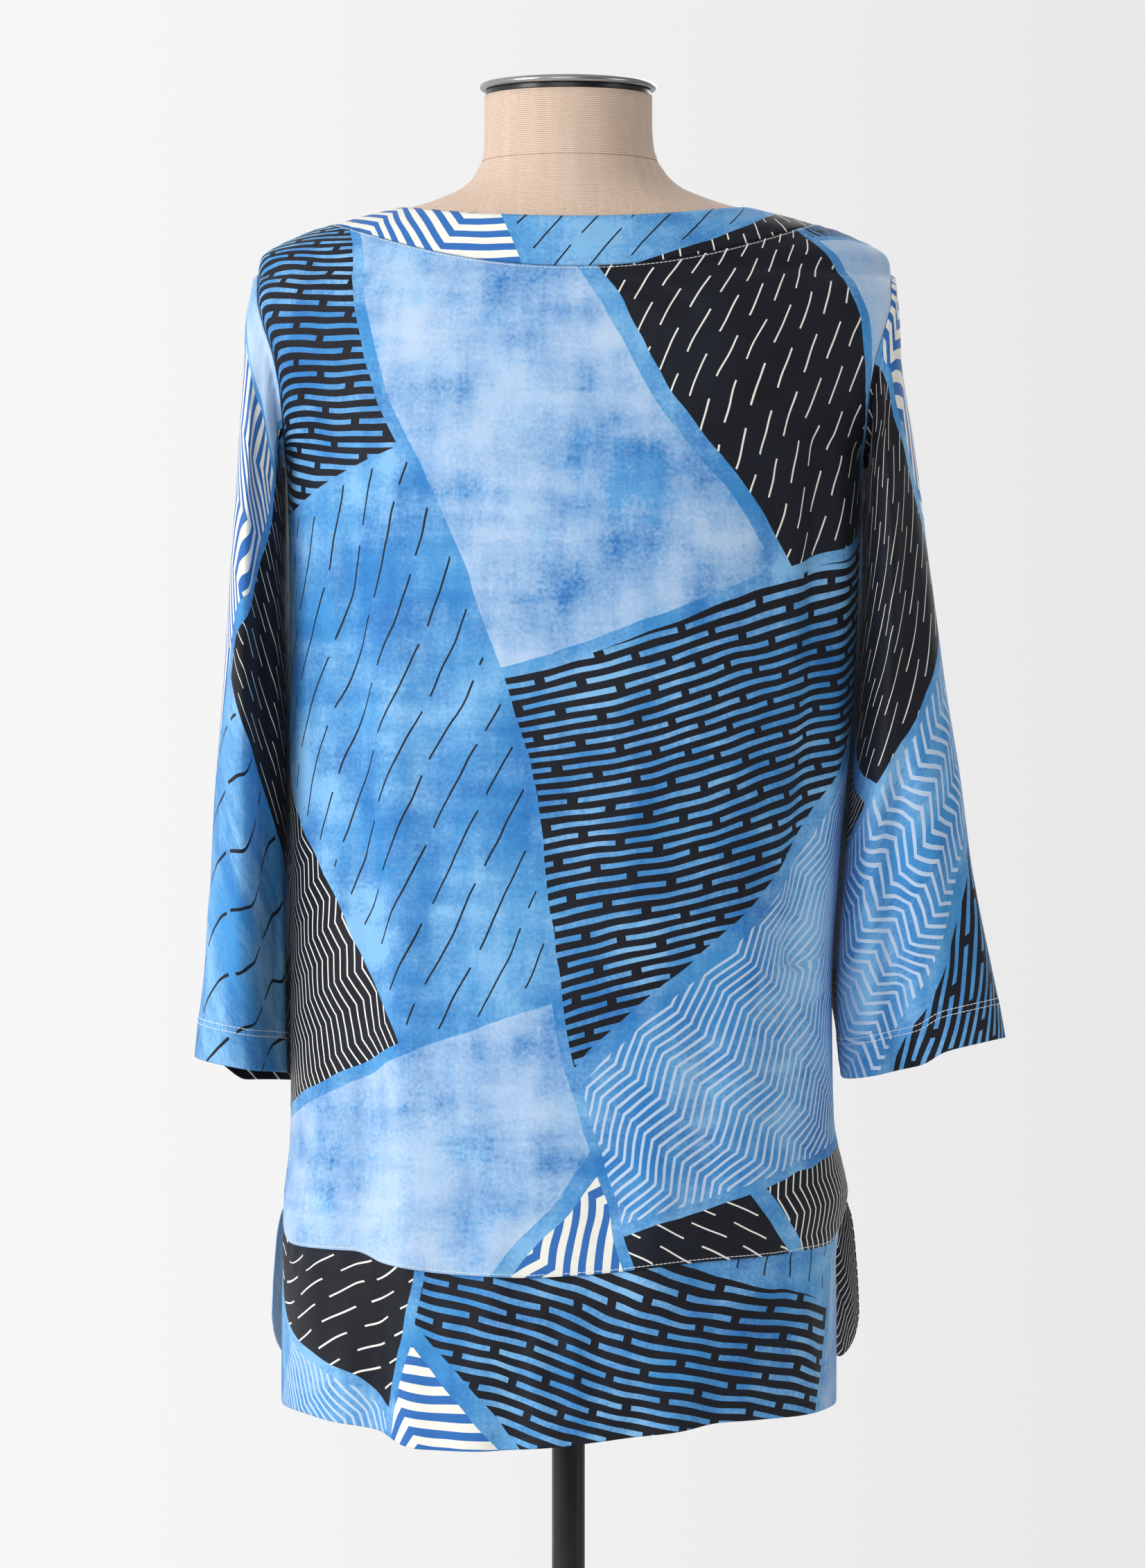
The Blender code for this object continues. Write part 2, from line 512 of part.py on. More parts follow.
def armhole_loop(back_grid, front_grid, column):
    """Armhole edge of both panels as one closed loop, shoulder tip first, down the back and up the front,
    with a point halfway along each stretch, and the direction at each point in which the sleeve leaves."""
    first = UNDERARM_ROW
    last = first + len(ARMHOLE_Z) - 1
    near = 1 if column == 0 else -2
    edge = 0 if column == 0 else -1

    def side_points(grid):
        return [(Vector(grid[i, edge]), Vector(grid[i, near])) for i in range(first, last + 1)]

    back, front = side_points(back_grid), side_points(front_grid)
    tip = (back[-1][0] + front[-1][0]) / 2
    under = (back[0][0] + front[0][0]) / 2
    sign = -1 if column == 0 else 1
    lead_tip = Vector((sign * 0.75, 0, -0.66))
    lead_under = Vector((sign, 0, 0.1)).normalized()
    loop = [(tip, lead_tip)]
    for points, order in ((back, -1), (front, 1)):
        inner = points[1:-1]
        middle = []
        for i, (point, beside) in enumerate(inner):
            along = (points[i + 2][0] - points[i][0]).normalized()
            across = (point - beside)
            lead = (across - along * across.dot(along)).normalized()
            low = min(1.0, max(0.0, (UNDERARM_TURN_Z - point.z) / (UNDERARM_TURN_Z - UNDERARM_Z)))
            middle.append((point, lead.lerp(lead_under, low * low * (3 - 2 * low)).normalized()))
        if order < 0:
            loop += middle[::-1] + [(under, lead_under)]
        else:
            loop += middle
    full = []
    for i, (point, lead) in enumerate(loop):
        after, after_lead = loop[(i + 1) % len(loop)]
        full.append((point, lead))
        full.append(((point + after) / 2, (lead + after_lead).normalized()))
    return full


def ease(t):
    t = min(1.0, max(0.0, t))
    return t * t * (3 - 2 * t)


def sleeve_section(table, sign, t, angle, outer_proud):
    """Point of the sleeve's own section at the share t of its length. angle 0 is the outer point, a quarter
    turn is the back. outer_proud says which side of the fold lies further out."""
    share = np.linspace(0, 1, len(table["outer_x"]))
    value = {key: smooth_steps(share, values, t) for key, values in table.items()}
    c, s = math.cos(angle), math.sin(angle)
    c = math.copysign(abs(c) ** (2 / SLEEVE_POWER), c)
    s = math.copysign(abs(s) ** (2 / SLEEVE_POWER), s)
    x = (value["outer_x"] + value["inner_x"]) / 2 + (value["outer_x"] - value["inner_x"]) / 2 * c
    z = (value["outer_z"] + value["inner_z"]) / 2 + (value["outer_z"] - value["inner_z"]) / 2 * c
    if s > 0:
        past_fold = (1 - c) / 2 - value["turn"]
        lying_in = 1 / (1 + math.exp((-past_fold if outer_proud else past_fold) / FOLD_SHARPNESS))
        groove = value["groove"] * math.exp(-(past_fold / GROOVE_WIDTH) ** 2)
        y = -value["back"] * s * (1 - value["step"] * lying_in) + groove
        z += value["ripple"] * math.tanh((c - RIPPLE_PLACE) / RIPPLE_WIDTH) * s
    else:
        y = -value["front"] * s
        x -= value["lean"] * s * s
        z -= value["drop"] * (1 + DROP_TILT * c) * ease((DROP_PLACE - c) / DROP_WIDTH) * ease(-1.5 * s)
    return Vector((sign * x, y, z))


def build_sleeve(name, table, sign, back_grid, front_grid, outer_proud):
    loop = armhole_loop(back_grid, front_grid, 0 if sign < 0 else -1)
    count = len(loop)
    angles = [2 * math.pi * i / count for i in range(count)]
    grid = [[p + lead * SEAM_GAP for p, lead in loop]]
    grid.append([p + lead * (SEAM_GAP + SLEEVE_HEAD) for p, lead in loop])
    shape = [p + lead * SLEEVE_HEAD - sleeve_section(table, sign, 0.0, a, outer_proud)
             for (p, lead), a in zip(loop, angles)]
    for i in range(1, SLEEVE_ROWS + 1):
        t = (i / SLEEVE_ROWS) ** 1.15
        kept = smooth_steps(np.linspace(0, 0.36, len(SEAM_SHAPE_LEFT)), SEAM_SHAPE_LEFT, min(t, 0.36))
        kept = kept if t < 0.36 else 0.0
        grid.append([sleeve_section(table, sign, t, a, outer_proud) + shape[j] * kept
                     for j, a in enumerate(angles)])
    return wall(name, np.array([[tuple(p) for p in row] for row in grid]), "printed_cloth", closed=True)


def form_ring(z):
    shift, half_width, back, front, power = (smooth_steps(FORM["z"], FORM[key], z) for key in
                                             ("shift", "half_width", "back", "front", "power"))
    ring = []
    for i in range(FORM_COLUMNS):
        angle = 2 * math.pi * i / FORM_COLUMNS
        c, s = math.cos(angle), math.sin(angle)
        depth = front if s > 0 else back
        ring.append((shift + half_width * math.copysign(abs(c) ** (2 / power), c),
                     depth * math.copysign(abs(s) ** (2 / power), s), z))
    return ring


def build_form():
    """Torso and neck of the dress form as one closed skin of level rings."""
    rings = [form_ring(z) for z in FORM["z"]]
    points = [p for ring in rings for p in ring]
    top, bottom = len(points), len(points) + 1
    points += [(0, 0, FORM["z"][0]), (0, 0, FORM["z"][-1])]
    triangles = []
    n = FORM_COLUMNS
    for i in range(len(rings) - 1):
        for j in range(n):
            k = (j + 1) % n
            a, b, c, d = i * n + j, i * n + k, (i + 1) * n + k, (i + 1) * n + j
            triangles += [(a, b, c), (a, c, d)]
    last = (len(rings) - 1) * n
    for j in range(n):
        k = (j + 1) % n
        triangles += [(top, j, k), (bottom, last + k, last + j)]
    add_object("form_torso", points, triangles, "linen")


def turned(name, profile, finish, sides=ROUND_SIDES):
    """Solid of revolution about the stand's axis. profile is (radius, z) from the axis out and back to it."""
    work = bmesh.new()
    points = [work.verts.new((r, 0, z)) for r, z in profile]
    edges = [work.edges.new(pair) for pair in zip(points, points[1:])]
    bmesh.ops.spin(work, geom=points + edges, axis=(0, 0, 1), cent=(0, 0, 0), angle=2 * math.pi,
                   steps=sides, use_duplicate=False)
    bmesh.ops.remove_doubles(work, verts=work.verts, dist=0.00001)
    bmesh.ops.recalc_face_normals(work, faces=work.faces)
    mesh = bpy.data.meshes.new(name)
    work.to_mesh(mesh)
    work.free()
    mesh.shade_smooth()
    mesh.set_sharp_from_angle(angle=math.radians(35))
    mesh.materials.append(material(finish))
    obj = bpy.data.objects.new(name, mesh)
    bpy.context.scene.collection.objects.link(obj)


def build_neck_cap():
    """Lid on the neck: a thin disc with a rounded rim on a smaller plug that leaves a dark gap."""
    under = CAP_TOP_Z - 0.0070
    plug = CAP_RADIUS - 0.0065
    turned("neck_cap", [
        (0, CAP_TOP_Z), (0.030, CAP_TOP_Z - 0.0004), (CAP_RADIUS - 0.006, CAP_TOP_Z - 0.0018),
        (CAP_RADIUS - 0.0015, CAP_TOP_Z - 0.0030), (CAP_RADIUS, CAP_TOP_Z - 0.0046),
        (CAP_RADIUS - 0.0008, under + 0.0004), (CAP_RADIUS - 0.0030, under), (plug, under),
        (plug, NECK_TOP_Z + FIT_GAP), (0, NECK_TOP_Z + FIT_GAP)], "chrome")


def build_stand():
    floor = SOCKET_FLOOR_Z
    bore = POLE_RADIUS + FIT_GAP
    turned("base_plate", [
        (0, 0), (BASE_RADIUS - 0.002, 0), (BASE_RADIUS, 0.002), (BASE_RADIUS, BASE_HEIGHT - 0.004),
        (BASE_RADIUS - 0.004, BASE_HEIGHT), (HUB_RADIUS + 0.004, BASE_HEIGHT + 0.001),
        (HUB_RADIUS, BASE_HEIGHT + 0.005), (HUB_RADIUS, HUB_HEIGHT - 0.002), (HUB_RADIUS - 0.002, HUB_HEIGHT),
        (bore, HUB_HEIGHT), (bore, floor), (0, floor)], "black_metal", 40)
    turned("pole", [
        (0, floor + FIT_GAP), (POLE_RADIUS, floor + FIT_GAP), (POLE_RADIUS, FORM_BOTTOM_Z - FIT_GAP),
        (0, FORM_BOTTOM_Z - FIT_GAP)], "black_metal", 24)


def build():
    clear_scene()
    back = build_panel("back_panel", -1)
    front = build_panel("front_panel", 1)
    build_neck_band("back_neck_band", -1)
    build_neck_band("front_neck_band", 1)
    build_tier("back_tier", -1, back)
    build_tier("front_tier", 1, front)
    build_sleeve("left_sleeve", LEFT_SLEEVE, -1, back, front, True)
    build_sleeve("right_sleeve", RIGHT_SLEEVE, 1, back, front, False)
    build_form()
    build_neck_cap()
    build_stand()


build()
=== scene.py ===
import math

import bpy
import numpy as np
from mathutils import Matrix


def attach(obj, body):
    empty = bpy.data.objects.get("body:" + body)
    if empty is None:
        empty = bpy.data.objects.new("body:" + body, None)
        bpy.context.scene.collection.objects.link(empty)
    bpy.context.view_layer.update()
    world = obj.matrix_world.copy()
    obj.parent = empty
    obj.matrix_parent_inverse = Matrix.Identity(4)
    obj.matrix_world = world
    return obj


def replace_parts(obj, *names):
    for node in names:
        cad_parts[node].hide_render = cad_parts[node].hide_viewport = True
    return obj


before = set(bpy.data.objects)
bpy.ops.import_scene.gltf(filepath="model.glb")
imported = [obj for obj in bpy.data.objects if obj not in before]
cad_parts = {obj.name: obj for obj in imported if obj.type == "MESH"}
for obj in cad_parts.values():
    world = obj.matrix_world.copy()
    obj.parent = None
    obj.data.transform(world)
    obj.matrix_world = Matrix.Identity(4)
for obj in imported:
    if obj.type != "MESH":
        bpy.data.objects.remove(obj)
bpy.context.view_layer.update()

# Cloth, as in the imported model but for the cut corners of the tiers
WALL = 0.0012
SEAM_GAP = 0.0004
LAYER_GAP = 0.0006
END_TUCK = 0.0010
TIER_OVERLAP = 0.009
TIER_RETURN = 0.12    # share of a tier's height over which it comes out from behind its panel
UNDERARM_Z = 1.245
UNDERARM_TURN_Z = 1.300
SHOULDER_TIP_Z = 1.3722
NECK_SEAM_SIDE_Z = 1.4047
NECK_EDGE_SIDE_Z = 1.4150
PANEL_SIDE_Z = 0.772
BACK, FRONT = -1, 1
SEAM_Z = {BACK: 0.7250, FRONT: 0.748}
HEM_Z = {BACK: 0.6153, FRONT: 0.652}
NECK_SEAM_Z = {BACK: 1.370, FRONT: 1.338}
NECK_EDGE_Z = {BACK: 1.4030, FRONT: 1.372}
HEM_CORNER = {BACK: 0.009, FRONT: 0.056}    # length of hem over which a tier's corner is cut off
CORNER_RISE = {BACK: 0.009, FRONT: 0.034}
CORNER_POWER = {BACK: 2.4, FRONT: 1.35}
SLIT = {BACK: 0.010, FRONT: 0.004}
TIER_INSET = {BACK: 0.0009, FRONT: 0.0}
TOP_TUCK = {BACK: 0.020, FRONT: 0.0}    # how far a tier's upper corners are moved in, as a share of its width
TOP_TUCK_RETURN, TOP_TUCK_POWER = 0.35, 14

# Stand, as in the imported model
CAP_RADIUS = 0.058
CAP_TOP_Z = 1.500
NECK_TOP_Z = 1.489
FIT_GAP = 0.0003
NECK_BASE_Z = 1.4455
NECK_GROOVE_DEPTH, NECK_GROOVE_WIDTH = 0.0007, 0.0016

FORM = {
    "z":          (1.489, 1.470, 1.455, 1.446, 1.439, 1.434, 1.428, 1.423, 1.4175, 1.4135, 1.4095, 1.4035,
                   1.3985, 1.3935, 1.3878, 1.382, 1.371, 1.355, 1.33, 1.30, 1.27, 1.24, 1.20, 1.15, 1.10,
                   1.04, 0.98, 0.92, 0.86, 0.82, 0.787, 0.772),
    "shift":      (0.0, 0.0, 0.0005, 0.001, 0.0015, 0.002, 0.0025, 0.003, 0.0035, 0.004, 0.004, 0.004,
                   0.004, 0.004, 0.004, 0.004, 0.004, 0.004, 0.004, 0.004, 0.004, 0.004, 0.0035, 0.003,
                   0.002, 0.001, 0.0, 0.0, 0.0, 0.0, 0.0, 0.0),
    "half_width": (0.0550, 0.0550, 0.0556, 0.0582, 0.0618, 0.0655, 0.073, 0.0845, 0.1005, 0.117, 0.134,
                   0.1562, 0.1730, 0.1842, 0.1950, 0.2012, 0.2034, 0.199, 0.192, 0.181, 0.170, 0.165,
                   0.162, 0.150, 0.137, 0.128, 0.138, 0.155, 0.165, 0.165, 0.159, 0.149),
    "back":       (0.056, 0.056, 0.057, 0.059, 0.061, 0.063, 0.0655, 0.068, 0.0705, 0.072, 0.0735, 0.0765,
                   0.079, 0.081, 0.0835, 0.086, 0.0905, 0.0955, 0.100, 0.103, 0.103, 0.101, 0.096, 0.087,
                   0.081, 0.080, 0.091, 0.107, 0.115, 0.113, 0.106, 0.097),
    "front":      (0.056, 0.056, 0.056, 0.057, 0.058, 0.059, 0.061, 0.0625, 0.064, 0.066, 0.068, 0.071,
                   0.0735, 0.076, 0.0785, 0.081, 0.086, 0.092, 0.101, 0.110, 0.117, 0.122, 0.123, 0.112,
                   0.098, 0.090, 0.096, 0.103, 0.107, 0.105, 0.099, 0.091),
    "power":      (2.0, 2.0, 2.0, 2.0, 2.0, 1.95, 1.9, 1.8, 1.7, 1.65, 1.6, 1.6, 1.6, 1.62, 1.65, 1.7,
                   1.78, 1.85, 1.95, 2.05, 2.15, 2.2, 2.25, 2.25, 2.25, 2.25, 2.25, 2.3, 2.35, 2.35, 2.3,
                   2.3),
}
CLOTH = {
    "z":      (0.585, 0.69, 0.74, 0.775, 0.82, 0.90, 0.98, 1.04, 1.12, 1.19, 1.245, 1.265, 1.29, 1.314,
               1.335, 1.353, 1.366),
    "shift":  (-0.002, -0.002, -0.002, -0.0015, -0.004, -0.005, -0.0025, 0.0, 0.003, 0.004, 0.0043,
               0.0043, 0.0042, 0.0041, 0.004, 0.004, 0.004),
    "edge_x": (0.195, 0.194, 0.191, 0.1845, 0.178, 0.177, 0.1795, 0.1825, 0.185, 0.187, 0.1888, 0.1895,
               0.191, 0.195, 0.2015, 0.2058, 0.2064),
    "edge_y": (0.0, 0.0, 0.0, 0.0, 0.0, 0.0, 0.0, 0.0, 0.0, 0.0, 0.0, 0.034, 0.050, 0.055, 0.051, 0.040,
               0.023),
    "back":   (0.143, 0.140, 0.135, 0.131, 0.128, 0.126, 0.122, 0.119, 0.115, 0.112, 0.110, 0.109, 0.1075,
               0.1055, 0.1030, 0.0998, 0.0955),
    "front":  (0.138, 0.136, 0.132, 0.129, 0.127, 0.126, 0.125, 0.126, 0.130, 0.133, 0.133, 0.130, 0.125,
               0.119, 0.112, 0.1035, 0.0935),
    "power":  (2.3, 2.3, 2.3, 2.3, 2.3, 2.3, 2.3, 2.3, 2.3, 2.3, 2.3, 2.25, 2.2, 2.1, 2.0, 1.92, 1.84),
}
BACK_SKIRT = {
    "z":        (0.60, 0.66, 0.725, 0.745, 0.765, 0.772),
    "narrower": (0.0120, 0.0110, 0.0095, 0.0060, 0.0010, 0.0),
    "shift":    (-0.004, -0.004, -0.004, -0.003, -0.0005, 0.0),
}
BACK_SEAM_RISE = {
    "across": (-1.0, -0.73, -0.62, -0.40, -0.13, 0.11, 0.50, 0.725, 0.93, 1.0),
    "rise":   (0.0146, 0.0144, 0.0080, 0.0021, 0.0, 0.0022, 0.0092, 0.0112, 0.0141, 0.0145),
}
BACK_HEM_RISE = {
    "across": (-1.0, -0.90, -0.67, -0.48, -0.30, -0.06, 0.19, 0.42, 0.57, 0.83, 1.0),
    "rise":   (0.0190, 0.0175, 0.0110, 0.0008, 0.0, 0.0023, 0.0073, 0.0124, 0.0164, 0.0173, 0.0190),
}
FRONT_SEAM_RISE = {
    "across": (-1.0, -0.5, 0.0, 0.5, 1.0),
    "rise":   (0.012, 0.003, 0.0, 0.003, 0.012),
}
FRONT_HEM_RISE = {
    "across": (-1.0, -0.5, 0.0, 0.5, 1.0),
    "rise":   (0.0035, 0.001, 0.0, 0.002, 0.0055),
}
REST_RAISE, REST_WIDEN, REST_DEEPEN = 0.0012, 0.0023, 0.0018
TIP_WIDEN, TIP_TOP_Z, TIP_DROP = 0.0019, 1.3935, 0.0115
ARMHOLE_Z = (1.245, 1.2535, 1.265, 1.281, 1.300, 1.319, 1.337, 1.352, 1.364, 1.3722)
FOLDS = {
    BACK: (
        {"place": (-0.80, -0.66), "z": (1.30, 0.60), "width": 0.075, "height": -0.0055},
        {"place": (-0.62, -0.50), "z": (1.18, 0.60), "width": 0.080, "height": 0.0045},
        {"place": (0.845, 0.85), "z": (1.31, 0.92), "width": 0.055, "height": -0.0068},
        {"place": (0.940, 0.93), "z": (1.29, 0.90), "width": 0.045, "height": 0.0060},
        {"place": (0.30, 0.34), "z": (0.86, 0.58), "width": 0.080, "height": 0.0040},
        {"place": (-0.22, -0.25), "z": (0.80, 0.58), "width": 0.060, "height": 0.0035},
    ),
    FRONT: (
        {"place": (-0.72, -0.60), "z": (1.22, 0.62), "width": 0.090, "height": 0.0060},
        {"place": (-0.48, -0.40), "z": (1.20, 0.62), "width": 0.070, "height": -0.0040},
        {"place": (0.68, 0.58), "z": (1.22, 0.62), "width": 0.090, "height": 0.0055},
        {"place": (0.42, 0.38), "z": (1.16, 0.62), "width": 0.070, "height": -0.0040},
        {"place": (0.05, 0.02), "z": (1.00, 0.62), "width": 0.090, "height": 0.0035},
    ),
}
SIDE_CLIMB = 60
FOLD_FADE = 0.10
HEM_WAVE, HEM_WAVE_TOP_Z, HEM_WAVE_REACH = 0.0028, 0.735, 0.11
HEM_WAVE_PHASE = {BACK: 1.3, FRONT: 0.4}

STILL = (0.0,) * 12
LEFT_SLEEVE = {
    "outer_x": (0.2025, 0.2085, 0.2110, 0.2145, 0.2185, 0.2225, 0.2260, 0.2300, 0.2335, 0.2370, 0.2420,
                0.2445),
    "outer_z": (1.3722, 1.345, 1.315, 1.270, 1.213, 1.160, 1.100, 1.049, 0.980, 0.923, 0.887, 0.860),
    "inner_x": (0.1845, 0.1870, 0.1868, 0.1860, 0.1853, 0.1850, 0.1850, 0.1850, 0.1850, 0.1850, 0.1850,
                0.1850),
    "inner_z": (1.2480, 1.226, 1.206, 1.180, 1.145, 1.108, 1.064, 1.022, 0.960, 0.905, 0.871, 0.849),
    "back":    (0.054, 0.058, 0.062, 0.066, 0.069, 0.071, 0.071, 0.070, 0.068, 0.064, 0.061, 0.059),
    "front":   (0.060, 0.062, 0.066, 0.070, 0.073, 0.075, 0.075, 0.074, 0.072, 0.069, 0.066, 0.064),
    "turn":    (0.25, 0.28, 0.33, 0.40, 0.46, 0.51, 0.56, 0.62, 0.69, 0.74, 0.78, 0.80),
    "step":    (0.00, 0.08, 0.24, 0.36, 0.44, 0.49, 0.52, 0.54, 0.56, 0.58, 0.60, 0.61),
    "groove":  STILL,
    "lean":    (0.0, 0.0, 0.003, 0.010, 0.018, 0.025, 0.028, 0.028, 0.028, 0.028, 0.027, 0.026),
    "drop":    (0.0, 0.0, 0.0, 0.0, 0.0, 0.0, 0.0, 0.001, 0.002, 0.004, 0.009, 0.0135),
    "ripple":  STILL,
}
RIGHT_SLEEVE = {
    "outer_x": (0.2085, 0.2130, 0.2160, 0.2238, 0.2320, 0.2395, 0.2475, 0.2555, 0.2650, 0.2760, 0.2825,
                0.2860),
    "outer_z": (1.3722, 1.345, 1.315, 1.270, 1.213, 1.158, 1.100, 1.049, 0.977, 0.924, 0.892, 0.8715),
    "inner_x": (0.1935, 0.1950, 0.1943, 0.1935, 0.1921, 0.1902, 0.1871, 0.1835, 0.1786, 0.1748, 0.1765,
                0.1788),
    "inner_z": (1.2480, 1.226, 1.206, 1.180, 1.145, 1.105, 1.062, 1.018, 0.956, 0.903, 0.868, 0.8462),
    "back":    (0.054, 0.058, 0.062, 0.066, 0.068, 0.067, 0.064, 0.061, 0.057, 0.053, 0.051, 0.049),
    "front":   (0.060, 0.062, 0.066, 0.069, 0.070, 0.069, 0.066, 0.063, 0.058, 0.053, 0.050, 0.048),
    "turn":    (0.36, 0.36, 0.38, 0.42, 0.46, 0.50, 0.54, 0.60, 0.65, 0.65, 0.65, 0.65),
    "step":    (0.00, 0.08, 0.16, 0.22, 0.24, 0.23, 0.20, 0.16, 0.10, 0.06, 0.05, 0.04),
    "groove":  (0.0, 0.0, 0.0, 0.0, 0.001, 0.002, 0.004, 0.007, 0.010, 0.012, 0.013, 0.013),
    "lean":    (0.0, 0.0, 0.003, 0.010, 0.018, 0.025, 0.029, 0.030, 0.030, 0.028, 0.014, 0.004),
    "drop":    STILL,
    "ripple":  (0.0, 0.0, 0.0, 0.0, 0.0, 0.0, 0.0, 0.0, 0.0, 0.001, 0.002, 0.003),
}
RIPPLE_PLACE, RIPPLE_WIDTH = 0.08, 0.12
DROP_PLACE, DROP_WIDTH, DROP_TILT = 1.00, 0.40, 0.35
ARMPIT_TUCK = (0.0, 0.0028, 0.0026, 0.0012, 0.0)    # how far a sleeve's underarm lies in against the body
ARMPIT_TUCK_AT = (0.0, 0.06, 0.14, 0.24, 0.32)
FOLD_SHARPNESS = 0.05
GROOVE_WIDTH = 0.11
SLEEVE_POWER = 2.3
SLEEVE_HEAD = 0.0035
SLEEVE_ROW_CURVE = 1.15
ARMHOLE_KEPT = (1.0, 0.60, 0.30, 0.10, 0.0)    # share of the armhole's shape left along the sleeve
ARMHOLE_KEPT_AT = (0.0, 0.12, 0.24, 0.36, 0.41)

# Fineness of the cloth
CLOTH_THICKNESS = 0.0006
COARSE_COLUMNS = 26
COLUMN_PARTS = 6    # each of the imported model's columns is cut into this many
BODY_ROWS = 9
ARMHOLE_PARTS = 8
SLEEVE_ROWS = 13
HEM_ROW_PARTS = 24
BAND_ROWS = 15
TIER_PARTS = [5, 30, 12]
TIER_HEM_SHARE = 0.88    # share of a tier's height above its finer rows
TORSO_ROW_PARTS, TORSO_COLUMNS = 3, 128
TURNED_SIDES = 96

# Sewing
STITCH_PITCH = 0.0029
STITCH_LENGTH = 0.0024
STITCH_RADIUS = 0.00024
SLEEVE_HEM_DEPTH = 0.0262
SLEEVE_HEM_ROWS = (SLEEVE_HEM_DEPTH, SLEEVE_HEM_DEPTH - 0.0036)
TURNED_EDGE = 0.0075    # depth of the narrow turned edges of panels and tiers
NECK_TURNED_EDGE = 0.0060
BAND_TURNED_EDGE = 0.030
HEM_STITCH, NECK_STITCH = 0.0017, 0.0016    # distances of the stitches from a panel's edges
HEM_ROLL, HEM_ROLL_DEPTH = 0.010, 0.00075
SEAM_CLEARANCE, NECK_CLEARANCE = 0.012, 0.010    # creases die out this close to an edge

# Creases, each from (x, z) to (x, z), with its half width, height outwards and sideways bow.
BACK_CREASES = (
    (-0.187, 1.325, -0.176, 1.286, 0.0045, -0.0022, 0.002),
    (-0.181, 1.300, -0.160, 1.255, 0.0080, -0.0020, 0.004),
    (-0.168, 1.290, -0.140, 1.228, 0.0100, 0.0013, 0.005),
    (-0.143, 1.210, -0.134, 1.035, 0.0085, -0.0026, -0.004),
    (-0.126, 1.190, -0.119, 0.985, 0.0100, 0.0020, 0.003),
    (-0.137, 1.010, -0.122, 0.905, 0.0090, -0.0023, 0.005),
    (-0.128, 0.880, -0.130, 0.740, 0.0100, -0.0021, -0.002),
    (-0.112, 0.860, -0.110, 0.742, 0.0080, 0.0016, 0.002),
    (0.1590, 1.290, 0.1600, 0.945, 0.0060, -0.0016, 0.0015),
    (0.1480, 1.240, 0.1460, 1.010, 0.0090, 0.0016, -0.003),
    (0.1560, 0.960, 0.1500, 0.800, 0.0100, 0.0020, 0.003),
    (0.026, 1.363, 0.061, 1.346, 0.0035, -0.0013, 0.002),
    (0.030, 1.352, 0.070, 1.333, 0.0040, 0.0012, 0.002),
    (0.044, 1.362, 0.088, 1.336, 0.0040, -0.0012, 0.003),
    (-0.060, 1.352, -0.092, 1.330, 0.0050, -0.0009, -0.002),
    (0.110, 1.330, 0.168, 1.262, 0.0110, 0.0017, 0.006),
    (0.120, 1.300, 0.172, 1.240, 0.0090, -0.0013, 0.004),
    (-0.120, 1.345, -0.172, 1.300, 0.0110, 0.0013, -0.005),
    (-0.060, 1.120, -0.064, 0.930, 0.0200, 0.0018, 0.006),
    (0.045, 1.060, 0.052, 0.860, 0.0220, 0.0018, -0.006),
    (0.108, 1.000, 0.112, 0.800, 0.0150, 0.0021, 0.005),
    (0.083, 0.900, 0.088, 0.745, 0.0120, -0.0020, 0.003),
    (-0.020, 0.860, -0.024, 0.740, 0.0120, 0.0014, 0.002),
    (0.020, 0.820, 0.022, 0.735, 0.0100, -0.0013, 0.002),
    (-0.075, 0.850, -0.078, 0.735, 0.0120, 0.0014, -0.002),
    (-0.160, 0.860, -0.164, 0.660, 0.0090, 0.0020, 0.002),
    (-0.121, 0.712, -0.124, 0.630, 0.0070, -0.0018, 0.001),
    (-0.020, 0.712, -0.022, 0.625, 0.0055, 0.0017, 0.0),
    (-0.008, 0.714, -0.008, 0.622, 0.0050, -0.0017, 0.0),
    (0.004, 0.712, 0.005, 0.624, 0.0050, 0.0017, 0.0),
    (0.018, 0.714, 0.019, 0.626, 0.0055, -0.0016, 0.0),
    (0.034, 0.712, 0.036, 0.628, 0.0060, 0.0016, 0.0),
    (0.056, 0.714, 0.058, 0.630, 0.0070, -0.0014, 0.0),
    (0.080, 0.716, 0.083, 0.634, 0.0080, 0.0013, 0.0),
    (0.150, 0.720, 0.153, 0.640, 0.0080, 0.0017, 0.001),
    (-0.075, 0.716, -0.077, 0.625, 0.0080, 0.0016, 0.0),
    (-0.050, 0.714, -0.052, 0.622, 0.0060, -0.0013, 0.0),
)
FRONT_CREASES = (
    (-0.170, 1.300, -0.140, 1.230, 0.0080, -0.0012, 0.004),
    (0.172, 1.300, 0.142, 1.232, 0.0080, -0.0012, -0.004),
    (-0.120, 1.240, -0.112, 1.020, 0.0120, -0.0012, 0.004),
    (0.118, 1.235, 0.110, 1.010, 0.0120, -0.0012, -0.003),
    (-0.086, 1.180, -0.080, 0.900, 0.0150, 0.0010, -0.004),
    (0.090, 1.170, 0.082, 0.890, 0.0150, 0.0010, 0.004),
    (-0.030, 1.060, -0.028, 0.840, 0.0180, 0.0008, 0.003),
    (0.036, 1.040, 0.030, 0.800, 0.0180, -0.0008, -0.003),
    (-0.050, 1.325, 0.050, 1.322, 0.0060, -0.0007, -0.012),
    (-0.060, 1.308, 0.062, 1.304, 0.0070, 0.0006, -0.014),
    (-0.140, 0.900, -0.144, 0.760, 0.0100, 0.0012, 0.002),
    (0.140, 0.890, 0.146, 0.760, 0.0100, 0.0012, -0.002),
    (-0.060, 0.735, -0.062, 0.662, 0.0070, 0.0009, 0.0),
    (-0.010, 0.738, -0.010, 0.660, 0.0060, -0.0009, 0.0),
    (0.045, 0.736, 0.048, 0.660, 0.0070, 0.0009, 0.0),
)
